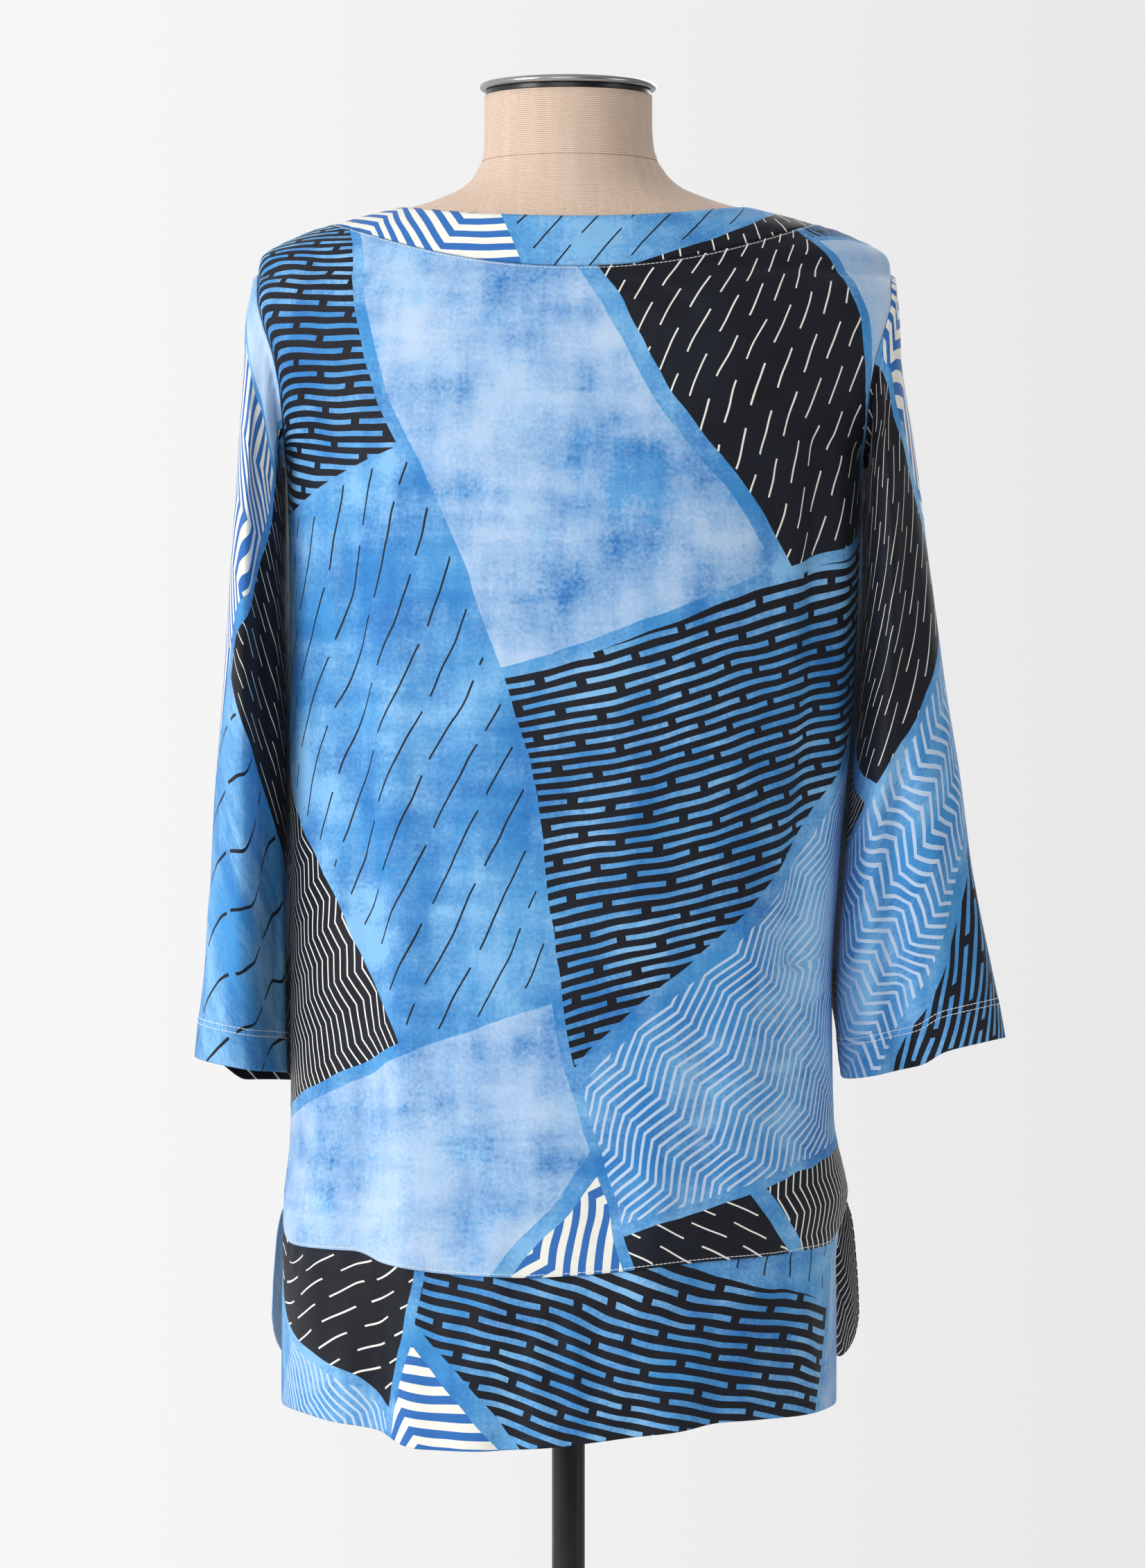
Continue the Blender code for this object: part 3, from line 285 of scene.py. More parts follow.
LEFT_SLEEVE_CREASES = (
    (-0.199, 1.318, -0.205, 1.200, 0.0040, -0.0018, 0.001),
    (-0.208, 1.240, -0.214, 1.080, 0.0035, 0.0016, 0.001),
    (-0.221, 1.040, -0.226, 0.900, 0.0045, -0.0017, 0.001),
    (-0.193, 1.190, -0.192, 1.020, 0.0030, 0.0016, 0.001),
    (-0.211, 1.020, -0.213, 0.880, 0.0045, 0.0017, -0.001),
    (-0.232, 0.980, -0.237, 0.880, 0.0045, 0.0016, 0.001),
    (-0.190, 0.980, -0.189, 0.870, 0.0030, -0.0016, 0.0),
)
RIGHT_SLEEVE_CREASES = (
    (0.205, 1.330, 0.201, 1.255, 0.0040, -0.0018, 0.001),
    (0.214, 1.300, 0.212, 1.160, 0.0045, 0.0016, 0.002),
    (0.204, 1.230, 0.200, 1.080, 0.0045, -0.0018, 0.002),
    (0.226, 1.200, 0.232, 1.040, 0.0055, -0.0017, 0.002),
    (0.246, 1.040, 0.252, 0.900, 0.0070, -0.0034, 0.002),
    (0.262, 1.000, 0.270, 0.880, 0.0060, 0.0018, 0.001),
    (0.199, 1.080, 0.190, 0.900, 0.0050, 0.0018, 0.001),
    (0.222, 0.960, 0.224, 0.862, 0.0060, 0.0020, 0.001),
)


def steps(x, y, at):
    """Values at `at` of the smooth curve through (x, y) that doesn't overshoot between its points."""
    x, y = np.asarray(x, float), np.asarray(y, float)
    if x[0] > x[-1]:
        x, y = x[::-1], y[::-1]
    gap = np.diff(x)
    rate = np.diff(y) / gap
    slope = np.zeros(len(x))
    slope[0], slope[-1] = rate[0], rate[-1]
    for i in range(1, len(x) - 1):
        if rate[i - 1] * rate[i] > 0:
            w1, w2 = 2 * gap[i] + gap[i - 1], gap[i] + 2 * gap[i - 1]
            slope[i] = (w1 + w2) / (w1 / rate[i - 1] + w2 / rate[i])
    at = np.clip(at, x[0], x[-1])
    i = np.clip(np.searchsorted(x, at) - 1, 0, len(x) - 2)
    t = (at - x[i]) / gap[i]
    return ((1 + 2 * t) * (1 - t) ** 2 * y[i] + t * (1 - t) ** 2 * gap[i] * slope[i]
            + t * t * (3 - 2 * t) * y[i + 1] + t * t * (t - 1) * gap[i] * slope[i + 1])


def ease(t):
    t = np.clip(t, 0.0, 1.0)
    return t * t * (3 - 2 * t)


# The cloth's surface

def cloth_sections():
    rows = {key: list(values) for key, values in CLOTH.items()}
    for i in reversed([i for i, z in enumerate(FORM["z"]) if 1.37 < z < 1.43]):
        rows["z"].append(FORM["z"][i] + REST_RAISE)
        rows["shift"].append(FORM["shift"][i])
        turn = min(1.0, max(0.0, (TIP_TOP_Z - FORM["z"][i]) / TIP_DROP))
        rows["edge_x"].append(FORM["half_width"][i] + REST_WIDEN + TIP_WIDEN * turn)
        rows["edge_y"].append(0.0)
        rows["back"].append(FORM["back"][i] + REST_DEEPEN)
        rows["front"].append(FORM["front"][i] + REST_DEEPEN)
        rows["power"].append(FORM["power"][i])
    return rows


SECTIONS = cloth_sections()


def section_value(key, z, side):
    value = steps(SECTIONS["z"], SECTIONS[key], z)
    if side == BACK and key in ("edge_x", "shift"):
        change = (-steps(BACK_SKIRT["z"], BACK_SKIRT["narrower"], z) if key == "edge_x"
                  else steps(BACK_SKIRT["z"], BACK_SKIRT["shift"], z))
        value = np.where(np.asarray(z) < PANEL_SIDE_Z, value + change, value)
    return value


def cloth_surface(side, across, z, edge_z):
    """Points of the cloth. across runs from -1 to 1 along rows whose edges are at the height edge_z."""
    across, z, edge_z = np.broadcast_arrays(across, z, edge_z)
    depth = section_value("back" if side == BACK else "front", z, side)
    power = section_value("power", z, side)
    edge_y = section_value("edge_y", z, side) * (1.0 if side == BACK else 1.12)
    reach = section_value("edge_x", z, side) / (1 - (edge_y / depth) ** power) ** (1 / power)
    x = section_value("edge_x", edge_z, side) * across
    share = np.maximum(0.0, 1 - np.abs(x / reach) ** power) ** (1 / power)
    return np.stack([x + section_value("shift", z, side), side * (depth * share + SEAM_GAP / 2), z], axis=-1)


def ridge_columns(count, reach=1.0):
    return reach * np.sin(math.pi / 2 * (2 * np.arange(count + 1) / count - 1))


def fold_height(side, across, z):
    total = np.zeros(np.broadcast(across, z).shape)
    for fold in FOLDS[side]:
        top, bottom = fold["z"]
        t = np.clip((top - z) / (top - bottom), 0.0, 1.0)
        place = fold["place"][0] + (fold["place"][1] - fold["place"][0]) * t
        live = np.where((z > bottom) & (z < top), ease((top - z) / FOLD_FADE), 0.0)
        total = total + fold["height"] * live * np.exp(-((across - place) / fold["width"]) ** 2)
    return total * (1 - across ** 8)


def hem_wave(side, across, z):
    t = np.clip((HEM_WAVE_TOP_Z - z) / HEM_WAVE_REACH, 0.0, 1.0)
    phase = HEM_WAVE_PHASE[side]
    ripple = np.sin(15.0 * across + phase) + 0.6 * np.sin(26.0 * across + 2.1 + phase)
    return HEM_WAVE * t * t * ripple * (1 - across ** 6)


def along_rows(grid):
    """Length along each row from its first point, over the cloth."""
    gaps = np.linalg.norm(np.diff(grid, axis=1), axis=2)
    return np.concatenate([np.zeros((len(grid), 1)), np.cumsum(gaps, axis=1)], axis=1)


def along_columns(grid):
    return along_rows(grid.transpose(1, 0, 2)).T


def normals(grid, closed=False):
    """Unit normals of a grid of points, turned away from the middle of the piece."""
    down = np.gradient(grid, axis=0)
    if closed:
        around = np.roll(grid, -1, axis=1) - np.roll(grid, 1, axis=1)
    else:
        around = np.gradient(grid, axis=1)
    normal = np.cross(around, down)
    normal /= np.maximum(np.linalg.norm(normal, axis=2, keepdims=True), 1e-12)
    centre = grid.mean(axis=1, keepdims=True) if closed else np.zeros(3)
    away = grid - centre
    away[..., 2] = 0
    return -normal if (normal * away).sum() < 0 else normal


def rows_between(levels, parts):
    """The given rows of values, with each gap between two of them cut into parts."""
    rows = [levels[k] + (levels[k + 1] - levels[k]) * i / n for k, n in enumerate(parts) for i in range(n)]
    return np.array(rows + [levels[-1]])


def lower_rise(side, across, seam):
    back, front = (BACK_SEAM_RISE, FRONT_SEAM_RISE) if seam else (BACK_HEM_RISE, FRONT_HEM_RISE)
    table = back if side == BACK else front
    return steps(table["across"], table["rise"], across)


def seam_curve(side, across):
    whole = PANEL_SIDE_Z - SEAM_Z[side]
    low = lower_rise(side, across, True) / whole
    return low + (1 - low) * np.abs(across) ** SIDE_CLIMB


def gentle(across):
    return np.abs(across) ** 2.05


def row_height(edge_z, centre_z, curve):
    return edge_z + (centre_z - edge_z) * (1 - curve)


PANEL_PARTS = [8] + [14] + [12] * (BODY_ROWS - 1) + [ARMHOLE_PARTS] * (len(ARMHOLE_Z) - 1) + [5, 5, 5, 5, 9]
UNDERARM_FINE_ROW = sum(PANEL_PARTS[:BODY_ROWS + 1])
TIP_FINE_ROW = UNDERARM_FINE_ROW + ARMHOLE_PARTS * (len(ARMHOLE_Z) - 1)


def panel_grid(side):
    """Base surface of a body panel from its lower seam up to the neck seam, without its creases."""
    across = ridge_columns(COARSE_COLUMNS * COLUMN_PARTS)
    seam, neck = SEAM_Z[side], NECK_SEAM_Z[side]
    curve = seam_curve(side, across)
    heights = [row_height(PANEL_SIDE_Z + up, seam + up, curve) for up in (0.0, TIER_OVERLAP)]
    edges = [PANEL_SIDE_Z, PANEL_SIDE_Z + TIER_OVERLAP]
    for i in range(1, BODY_ROWS):
        t = i / BODY_ROWS
        edges.append(PANEL_SIDE_Z + (UNDERARM_Z - PANEL_SIDE_Z) * t)
        heights.append(row_height(edges[-1], seam + (UNDERARM_Z - seam) * t, gentle(across)))
    upper = list(ARMHOLE_Z) + [SHOULDER_TIP_Z + (NECK_SEAM_SIDE_Z - SHOULDER_TIP_Z) * t
                               for t in (0.33, 0.56, 0.74, 0.88, 1.0)]
    for i, edge_z in enumerate(upper):
        edges.append(edge_z)
        centre_z = UNDERARM_Z + (neck - UNDERARM_Z) * i / (len(upper) - 1)
        heights.append(row_height(edge_z, centre_z, gentle(across)))
    z = rows_between(heights, PANEL_PARTS)
    edge_z = rows_between(edges, PANEL_PARTS)[:, None]
    flat = cloth_surface(side, across[None, :], z, edge_z)
    rise = fold_height(side, across[None, :], z) + hem_wave(side, across[None, :], z)
    return flat + normals(flat) * rise[..., None]


def band_grid(side):
    across = ridge_columns(COARSE_COLUMNS * COLUMN_PARTS)
    t = np.linspace(0, 1, BAND_ROWS)[:, None]
    edge_z = NECK_SEAM_SIDE_Z + SEAM_GAP + (NECK_EDGE_SIDE_Z - NECK_SEAM_SIDE_Z) * t
    centre_z = NECK_SEAM_Z[side] + SEAM_GAP + (NECK_EDGE_Z[side] - NECK_SEAM_Z[side]) * t
    z = row_height(edge_z, centre_z, gentle(across)[None, :])
    return cloth_surface(side, across[None, :], z, edge_z)


def tier_grid(side):
    """Base surface of a lower tier, from behind its panel down to the hem with its rounded corners."""
    depth = section_value("back" if side == BACK else "front", HEM_Z[side], side)
    power = section_value("power", HEM_Z[side], side)
    reach = float((1 - (SLIT[side] / depth) ** power) ** (1 / power))
    across = ridge_columns(COARSE_COLUMNS * COLUMN_PARTS, reach)
    hem = cloth_surface(side, across, HEM_Z[side], HEM_Z[side])
    run = np.concatenate([[0.0], np.cumsum(np.linalg.norm(np.diff(hem, axis=0), axis=1))])
    from_edge = np.minimum(run, run[-1] - run)
    corner = CORNER_RISE[side] * np.maximum(0.0, 1 - from_edge / HEM_CORNER[side]) ** CORNER_POWER[side]
    bottom = HEM_Z[side] + lower_rise(side, across, False) + corner
    curve = seam_curve(side, across)
    seam = row_height(PANEL_SIDE_Z, SEAM_Z[side], curve)
    above = row_height(PANEL_SIDE_Z + TIER_OVERLAP, SEAM_Z[side] + TIER_OVERLAP, curve)
    z = rows_between([above, seam, seam + (bottom - seam) * TIER_HEM_SHARE, bottom], TIER_PARTS)
    t = rows_between([0.0, 0.0, TIER_HEM_SHARE, 1.0], TIER_PARTS)[:, None]
    edge_z = np.where(z > PANEL_SIDE_Z, z, PANEL_SIDE_Z + (z - PANEL_SIDE_Z) * ease(t * 5))
    tuck = TOP_TUCK[side] * np.abs(across) ** TOP_TUCK_POWER * (1 - ease(t / TOP_TUCK_RETURN))
    flat = cloth_surface(side, across[None, :] * (1 - tuck), z, edge_z)
    behind = WALL + LAYER_GAP
    inset = behind + (TIER_INSET[side] - behind) * ease(t / TIER_RETURN)
    swell = (fold_height(side, across[None, :], z) + hem_wave(side, across[None, :], z)
             - END_TUCK * np.abs(across) ** 20 - inset)
    return flat + normals(flat) * swell[..., None]


def armhole(back, front, right):
    """Armhole edge of both panels as one loop, shoulder tip first, down the back and up the front, and the
    direction at each point in which the sleeve leaves."""
    edge, beside = (-1, -1 - COLUMN_PARTS) if right else (0, COLUMN_PARTS)
    sign = 1 if right else -1
    rows = slice(UNDERARM_FINE_ROW, TIP_FINE_ROW + 1)
    back_edge, front_edge = back[rows, edge], front[rows, edge]
    tip, under = (back_edge[-1] + front_edge[-1]) / 2, (back_edge[0] + front_edge[0]) / 2
    points = np.concatenate([[tip], back_edge[-2:0:-1], [under], front_edge[1:-1]])
    lead_tip = np.array([sign * 0.75, 0, -0.66])
    lead_under = np.array([sign, 0, 0.1]) / math.hypot(1, 0.1)

    def middle_leads(grid):
        coarse = grid[rows][::ARMHOLE_PARTS]
        point, near = coarse[:, edge], coarse[:, beside]
        leads = []
        for i in range(1, len(point) - 1):
            along = point[i + 1] - point[i - 1]
            along /= np.linalg.norm(along)
            across = point[i] - near[i]
            lead = across - along * across.dot(along)
            lead /= np.linalg.norm(lead)
            low = ease((UNDERARM_TURN_Z - point[i][2]) / (UNDERARM_TURN_Z - UNDERARM_Z))
            lead = lead + (lead_under - lead) * low
            leads.append(lead / np.linalg.norm(lead))
        return leads

    leads = [lead_tip] + middle_leads(back)[::-1] + [lead_under] + middle_leads(front)
    leads = rows_between(np.array(leads + [lead_tip]), [ARMHOLE_PARTS] * len(leads))[:-1]
    return points, leads / np.linalg.norm(leads, axis=1, keepdims=True)


def sleeve_section(table, sign, t, angle, outer_proud):
    share = np.linspace(0, 1, len(table["outer_x"]))
    value = {key: steps(share, values, t) for key, values in table.items()}
    c, s = np.cos(angle), np.sin(angle)
    c = np.copysign(np.abs(c) ** (2 / SLEEVE_POWER), c)
    s = np.copysign(np.abs(s) ** (2 / SLEEVE_POWER), s)
    x = (value["outer_x"] + value["inner_x"]) / 2 + (value["outer_x"] - value["inner_x"]) / 2 * c
    z = (value["outer_z"] + value["inner_z"]) / 2 + (value["outer_z"] - value["inner_z"]) / 2 * c
    past_fold = (1 - c) / 2 - value["turn"]
    lying_in = 1 / (1 + np.exp(np.clip((-past_fold if outer_proud else past_fold) / FOLD_SHARPNESS, -40, 40)))
    groove = value["groove"] * np.exp(-(past_fold / GROOVE_WIDTH) ** 2) * np.clip(s * 3, 0.0, 1.0)
    y = np.where(s > 0, -value["back"] * s * (1 - value["step"] * lying_in) + groove, -value["front"] * s)
    x = x - value["lean"] * np.minimum(s, 0.0) ** 2
    tuck = np.where(t < ARMPIT_TUCK_AT[-1], steps(ARMPIT_TUCK_AT, ARMPIT_TUCK, t), 0.0)
    x = x - tuck * ease((-c - 0.2) / 0.6) * (1 - np.minimum(s, 0.0))
    z = z + value["ripple"] * np.tanh((c - RIPPLE_PLACE) / RIPPLE_WIDTH) * np.maximum(s, 0.0)
    z = z - value["drop"] * (1 + DROP_TILT * c) * ease((DROP_PLACE - c) / DROP_WIDTH) * ease(-1.5 * s)
    return np.stack(np.broadcast_arrays(sign * x, y, z), axis=-1)


def sleeve_grid(table, right, back, front, outer_proud):
    """Base surface of a sleeve as a closed grid. Its columns start at the underarm seam and run over the
    front, the outer line and the back."""
    sign = 1 if right else -1
    points, leads = armhole(back, front, right)
    count = len(points)
    angle = (2 * math.pi * np.arange(count) / count)[None, :]
    head = [points + leads * (SEAM_GAP + SLEEVE_HEAD * i / 3) for i in range(4)]
    parts = [8] * (SLEEVE_ROWS - 2) + [HEM_ROW_PARTS] * 2
    i = rows_between(np.arange(SLEEVE_ROWS + 1.0), parts)[1:, None]
    t = (i / SLEEVE_ROWS) ** SLEEVE_ROW_CURVE
    shape = head[-1] - sleeve_section(table, sign, 0.0, angle[0], outer_proud)
    kept = np.where(t < ARMHOLE_KEPT_AT[-1], steps(ARMHOLE_KEPT_AT, ARMHOLE_KEPT, t), 0.0)
    body = sleeve_section(table, sign, t, angle, outer_proud) + shape[None, :, :] * kept[..., None]
    grid = np.concatenate([np.array(head), body])
    return np.roll(grid, -(count // 2), axis=1)


# Creases and small relief

def crease_relief(x, z, creases):
    """Height outwards of the listed creases at points (x, z)."""
    total = np.zeros(x.shape)
    for x0, z0, x1, z1, width, height, bow in creases:
        run_x, run_z = x1 - x0, z1 - z0
        length = math.hypot(run_x, run_z)
        along = ((x - x0) * run_x + (z - z0) * run_z) / length ** 2
        off = ((x - x0) * -run_z + (z - z0) * run_x) / length
        off = off - bow * np.sin(math.pi * np.clip(along, 0.0, 1.0))
        ends = ease(along / 0.3) * ease((1 - along) / 0.3)
        total += height * ends * np.exp(-(off / (width * (0.75 + 0.5 * np.clip(along, 0, 1)))) ** 2)
    return total


def drift(x, z, seed):
    """Slow unevenness of hanging cloth, about half a millimetre."""
    return (0.00022 * np.sin(23.0 * x + 9.0 * z + seed) + 0.00018 * np.sin(-17.0 * x + 31.0 * z + 2.1 * seed)
            + 0.00012 * np.sin(57.0 * x - 21.0 * z + 3.7 * seed)
            + 0.00008 * np.sin(88.0 * x + 71.0 * z + 5.3 * seed))


def pucker(run, distance, reach, pitch, height):
    """Small ripples across a seam, dying out over reach. run is the length along the seam."""
    ripple = np.sin(2 * math.pi * run / pitch) + 0.6 * np.sin(2 * math.pi * run / (pitch * 1.73) + 1.0)
    return height * ripple * np.exp(-(distance / reach) ** 2)


def turned_edge(distance, depth, rise):
    """Rise of a folded hem over its depth, with the softly rounded edge of the fold."""
    return rise * ease((depth - distance) / 0.0016) * ease(distance / 0.0012 + 0.35)


def stitch_dip(distance, at, depth=0.00022):
    return -depth * np.exp(-((distance - at) / 0.0011) ** 2)


def seam_dip(distance, reach, depth=0.00035):
    return -depth * np.exp(-(distance / reach) ** 2)


def relieved(grid, height, closed=False):
    return grid + normals(grid, closed) * height[..., None]


def panel_relief(side, grid):
    x, z = grid[..., 0], grid[..., 2]
    rows, columns = along_rows(grid), along_columns(grid)
    to_side = np.minimum(rows, rows[:, -1:] - rows)
    to_hem, to_neck = columns, columns[-1:] - columns
    creases = BACK_CREASES if side == BACK else FRONT_CREASES
    clear = (ease(to_side / SEAM_CLEARANCE) * ease(to_neck / NECK_CLEARANCE)
             * ease(to_hem / SEAM_CLEARANCE))
    height = (crease_relief(x, z, creases) + drift(x, z, 1.0 if side == BACK else 4.0)) * clear
    height += pucker(columns, to_side, 0.006, 0.011, 0.00022) * ease(to_side / 0.0015)
    height += pucker(rows, to_neck, 0.005, 0.0075, 0.00016) * ease(to_neck / 0.0015)
    height += seam_dip(to_side, 0.0022)
    height += turned_edge(to_hem, TURNED_EDGE, 0.00025) + stitch_dip(to_hem, HEM_STITCH)
    height -= HEM_ROLL_DEPTH * ease((HEM_ROLL - to_hem) / HEM_ROLL)
    height += turned_edge(to_neck, NECK_TURNED_EDGE, 0.00025) + stitch_dip(to_neck, NECK_STITCH)
    return relieved(grid, height)


def band_relief(side, grid):
    columns = along_columns(grid)
    to_seam, to_edge = columns, columns[-1:] - columns
    rows = along_rows(grid)
    ends = ease(np.minimum(rows, rows[:, -1:] - rows) / 0.004)
    height = turned_edge(to_edge, BAND_TURNED_EDGE, 0.00020) + seam_dip(to_seam, 0.0018, 0.00040)
    height += (pucker(rows, to_seam, 0.008, 0.013, 0.00018) + drift(grid[..., 0], grid[..., 2], 7.0)) * ends
    return relieved(grid, height)


def tier_relief(side, grid):
    x, z = grid[..., 0], grid[..., 2]
    rows, columns = along_rows(grid), along_columns(grid)
    to_side = np.minimum(rows, rows[:, -1:] - rows)
    to_hem, below_seam = columns[-1:] - columns, columns - TIER_OVERLAP
    creases = BACK_CREASES if side == BACK else FRONT_CREASES
    height = (crease_relief(x, z, creases) + drift(x, z, 2.0)) * ease(below_seam / 0.010)
    height += pucker(rows, below_seam, 0.016, 0.017, 0.00030) * ease(below_seam / 0.004)
    height += turned_edge(np.minimum(to_hem, to_side), TURNED_EDGE, 0.00022)
    height += stitch_dip(to_hem, TURNED_EDGE, 0.00012)
    return relieved(grid, height)


def sleeve_relief(grid, creases, seed):
    x, z = grid[..., 0], grid[..., 2]
    columns = along_columns(grid)
    to_cuff, from_head = columns[-1:] - columns, columns
    count = grid.shape[1]
    share = np.arange(count) / count
    girth = np.linalg.norm(np.diff(np.concatenate([grid, grid[:, :1]], axis=1), axis=1), axis=2).sum(axis=1)
    to_seam = np.minimum(share, 1 - share)[None, :] * girth[:, None]
    around = share[None, :] * girth[:, None]
    on_back = ease((share[None, :] - 0.5) * 12) * ease((1 - share[None, :]) * 12)
    height = crease_relief(x, z, creases) * on_back * ease(to_cuff / SEAM_CLEARANCE) * ease(from_head / 0.02)
    height += drift(x + grid[..., 1], z, seed) * ease(from_head / 0.01)
    height += pucker(around, from_head, 0.010, 0.012, 0.00030) * ease(from_head / 0.003)
    height += pucker(columns, to_seam, 0.005, 0.014, 0.00022) * ease(from_head / 0.01)
    height += seam_dip(to_seam, 0.0016) * ease(from_head / 0.01)
    height += turned_edge(to_cuff, SLEEVE_HEM_DEPTH + 0.0012, 0.00035)
    for depth in SLEEVE_HEM_ROWS:
        height += stitch_dip(to_cuff, depth)
    height += pucker(around, to_cuff - SLEEVE_HEM_DEPTH, 0.006, 0.013, 0.00018)
    return relieved(grid, height, closed=True)


# Meshes

def add_piece(name, points, faces, finish, cut=None):
    """A mesh piece on the part's one body. cut holds the flat place of each corner of each face."""
    mesh = bpy.data.meshes.new(name)
    mesh.from_pydata(np.asarray(points).tolist(), [], faces)
    if cut is not None:
        layer = mesh.uv_layers.new(name="cut")
        layer.data.foreach_set("uv", np.asarray(cut, dtype=np.float32).ravel())
    mesh.shade_smooth()
    mesh.materials.append(finish)
    piece = bpy.data.objects.new(name, mesh)
    bpy.context.scene.collection.objects.link(piece)
    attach(piece, "root")
    return piece


def cloth_piece(name, grid, flat_u, flat_v, finish, closed=False, thickness=CLOTH_THICKNESS):
    """Thin shell between a grid of outer points and the same grid moved in. The flat places of a closed grid
    have one more column, the first one again at its other place."""
    inner = grid - normals(grid, closed) * thickness
    rows, columns = grid.shape[:2]
    count = rows * columns
    wide = columns if closed else columns - 1
    i, j = np.meshgrid(np.arange(rows - 1), np.arange(wide), indexing="ij")
    i, j = i.ravel(), j.ravel()
    k = (j + 1) % columns
    corners = [i * columns + j, i * columns + k, (i + 1) * columns + k, (i + 1) * columns + j]
    flat = np.stack([flat_u, flat_v], axis=-1)
    places = np.stack([flat[i, j], flat[i, j + 1], flat[i + 1, j + 1], flat[i + 1, j]], axis=1)
    outside = np.stack(corners, axis=1)
    inside = np.stack(corners[::-1], axis=1) + count
    faces, cut = [outside, inside], [places, places[:, ::-1]]
    for row, order in ((0, 1), (rows - 1, -1)):
        a, b = row * columns + np.arange(wide), row * columns + (np.arange(wide) + 1) % columns
        rim = np.stack([b, a, a + count, b + count][::order], axis=1)
        rim_cut = np.stack([flat[row, 1:wide + 1], flat[row, :wide], flat[row, :wide],
                            flat[row, 1:wide + 1]][::order], axis=1)
        faces.append(rim)
        cut.append(rim_cut)
    if not closed:
        for column, order in ((0, 1), (columns - 1, -1)):
            a = np.arange(rows - 1) * columns + column
            b = a + columns
            faces.append(np.stack([a, b, b + count, a + count][::order], axis=1))
            cut.append(np.stack([flat[:-1, column], flat[1:, column], flat[1:, column],
                                 flat[:-1, column]][::order], axis=1))
    faces, cut = np.concatenate(faces), np.concatenate(cut)
    first = np.cross(grid[0, 1] - grid[0, 0], grid[1, 0] - grid[0, 0])
    if first.dot(normals(grid, closed)[0, 0]) < 0:
        faces, cut = faces[:, ::-1], cut[:, ::-1]
    points = np.concatenate([grid.reshape(-1, 3), inner.reshape(-1, 3)])
    return add_piece(name, points, faces.tolist(), finish, cut)


def flat_places(grid, offset, closed=False, level_row=0):
    """Place of each point on the flat piece: lengths along the cloth from its middle column and from a level
    row, moved by the piece's own offset on the print."""
    if closed:
        grid = np.concatenate([grid, grid[:, :1]], axis=1)
    u = along_rows(grid)
    u = u - u[:, grid.shape[1] // 2][:, None]
    v = along_columns(grid)
    v = v - v[level_row][None, :] + grid[level_row, :, 2].mean()
    return u + offset[0], v + offset[1]


def at_distance(grid, distance, from_last=False):
    """Points of the grid's columns at a length from their first or last row, and the normals there."""
    normal = normals(grid)
    if from_last:
        grid, normal = grid[::-1], normal[::-1]
    run = along_columns(grid)
    line, out = [], []
    for j in range(grid.shape[1]):
        line.append([np.interp(distance, run[:, j], grid[:, j, k]) for k in range(3)])
        out.append([np.interp(distance, run[:, j], normal[:, j, k]) for k in range(3)])
    return np.array(line), np.array(out)


def stitches(name, lines, finish, pitch=STITCH_PITCH, length=STITCH_LENGTH, radius=STITCH_RADIUS):
    """Threads of a row of stitches that lie on the cloth along lines of (points, normals)."""
    rings = ((-0.5, 0.35), (-0.40, 1.0), (0.0, 1.1), (0.40, 1.0), (0.5, 0.35))
    turn = 2 * math.pi * np.arange(6) / 6
    points, faces = [], []
    for line, out in lines:
        run = np.concatenate([[0.0], np.cumsum(np.linalg.norm(np.diff(line, axis=0), axis=1))])
        for s in np.arange(pitch * 0.6, run[-1] - pitch * 0.4, pitch):
            ends = [np.array([np.interp(s + d, run, line[:, k]) for k in range(3)])
                    for d in (-length / 2, length / 2)]
            normal = np.array([np.interp(s, run, out[:, k]) for k in range(3)])
            normal /= np.linalg.norm(normal)
            axis = ends[1] - ends[0]
            axis /= np.linalg.norm(axis)
            side = np.cross(axis, normal)
            middle = (ends[0] + ends[1]) / 2 + normal * radius * 0.35
            start = len(points)
            for place, wide in rings:
                bow = 0.25 * radius * (1 - (2 * place) ** 2)
                for a in turn:
                    points.append(middle + axis * place * length + normal * bow
                                  + (side * math.cos(a) + normal * math.sin(a) * 0.8) * radius * wide)
            for r in range(len(rings) - 1):
                for q in range(6):
                    a, b = start + r * 6 + q, start + r * 6 + (q + 1) % 6
                    faces.append((a, b, b + 6, a + 6))
            faces.append(tuple(start + q for q in range(5, -1, -1)))
            faces.append(tuple(start + (len(rings) - 1) * 6 + q for q in range(6)))
    return add_piece(name, points, faces, finish)


# Shader nodes

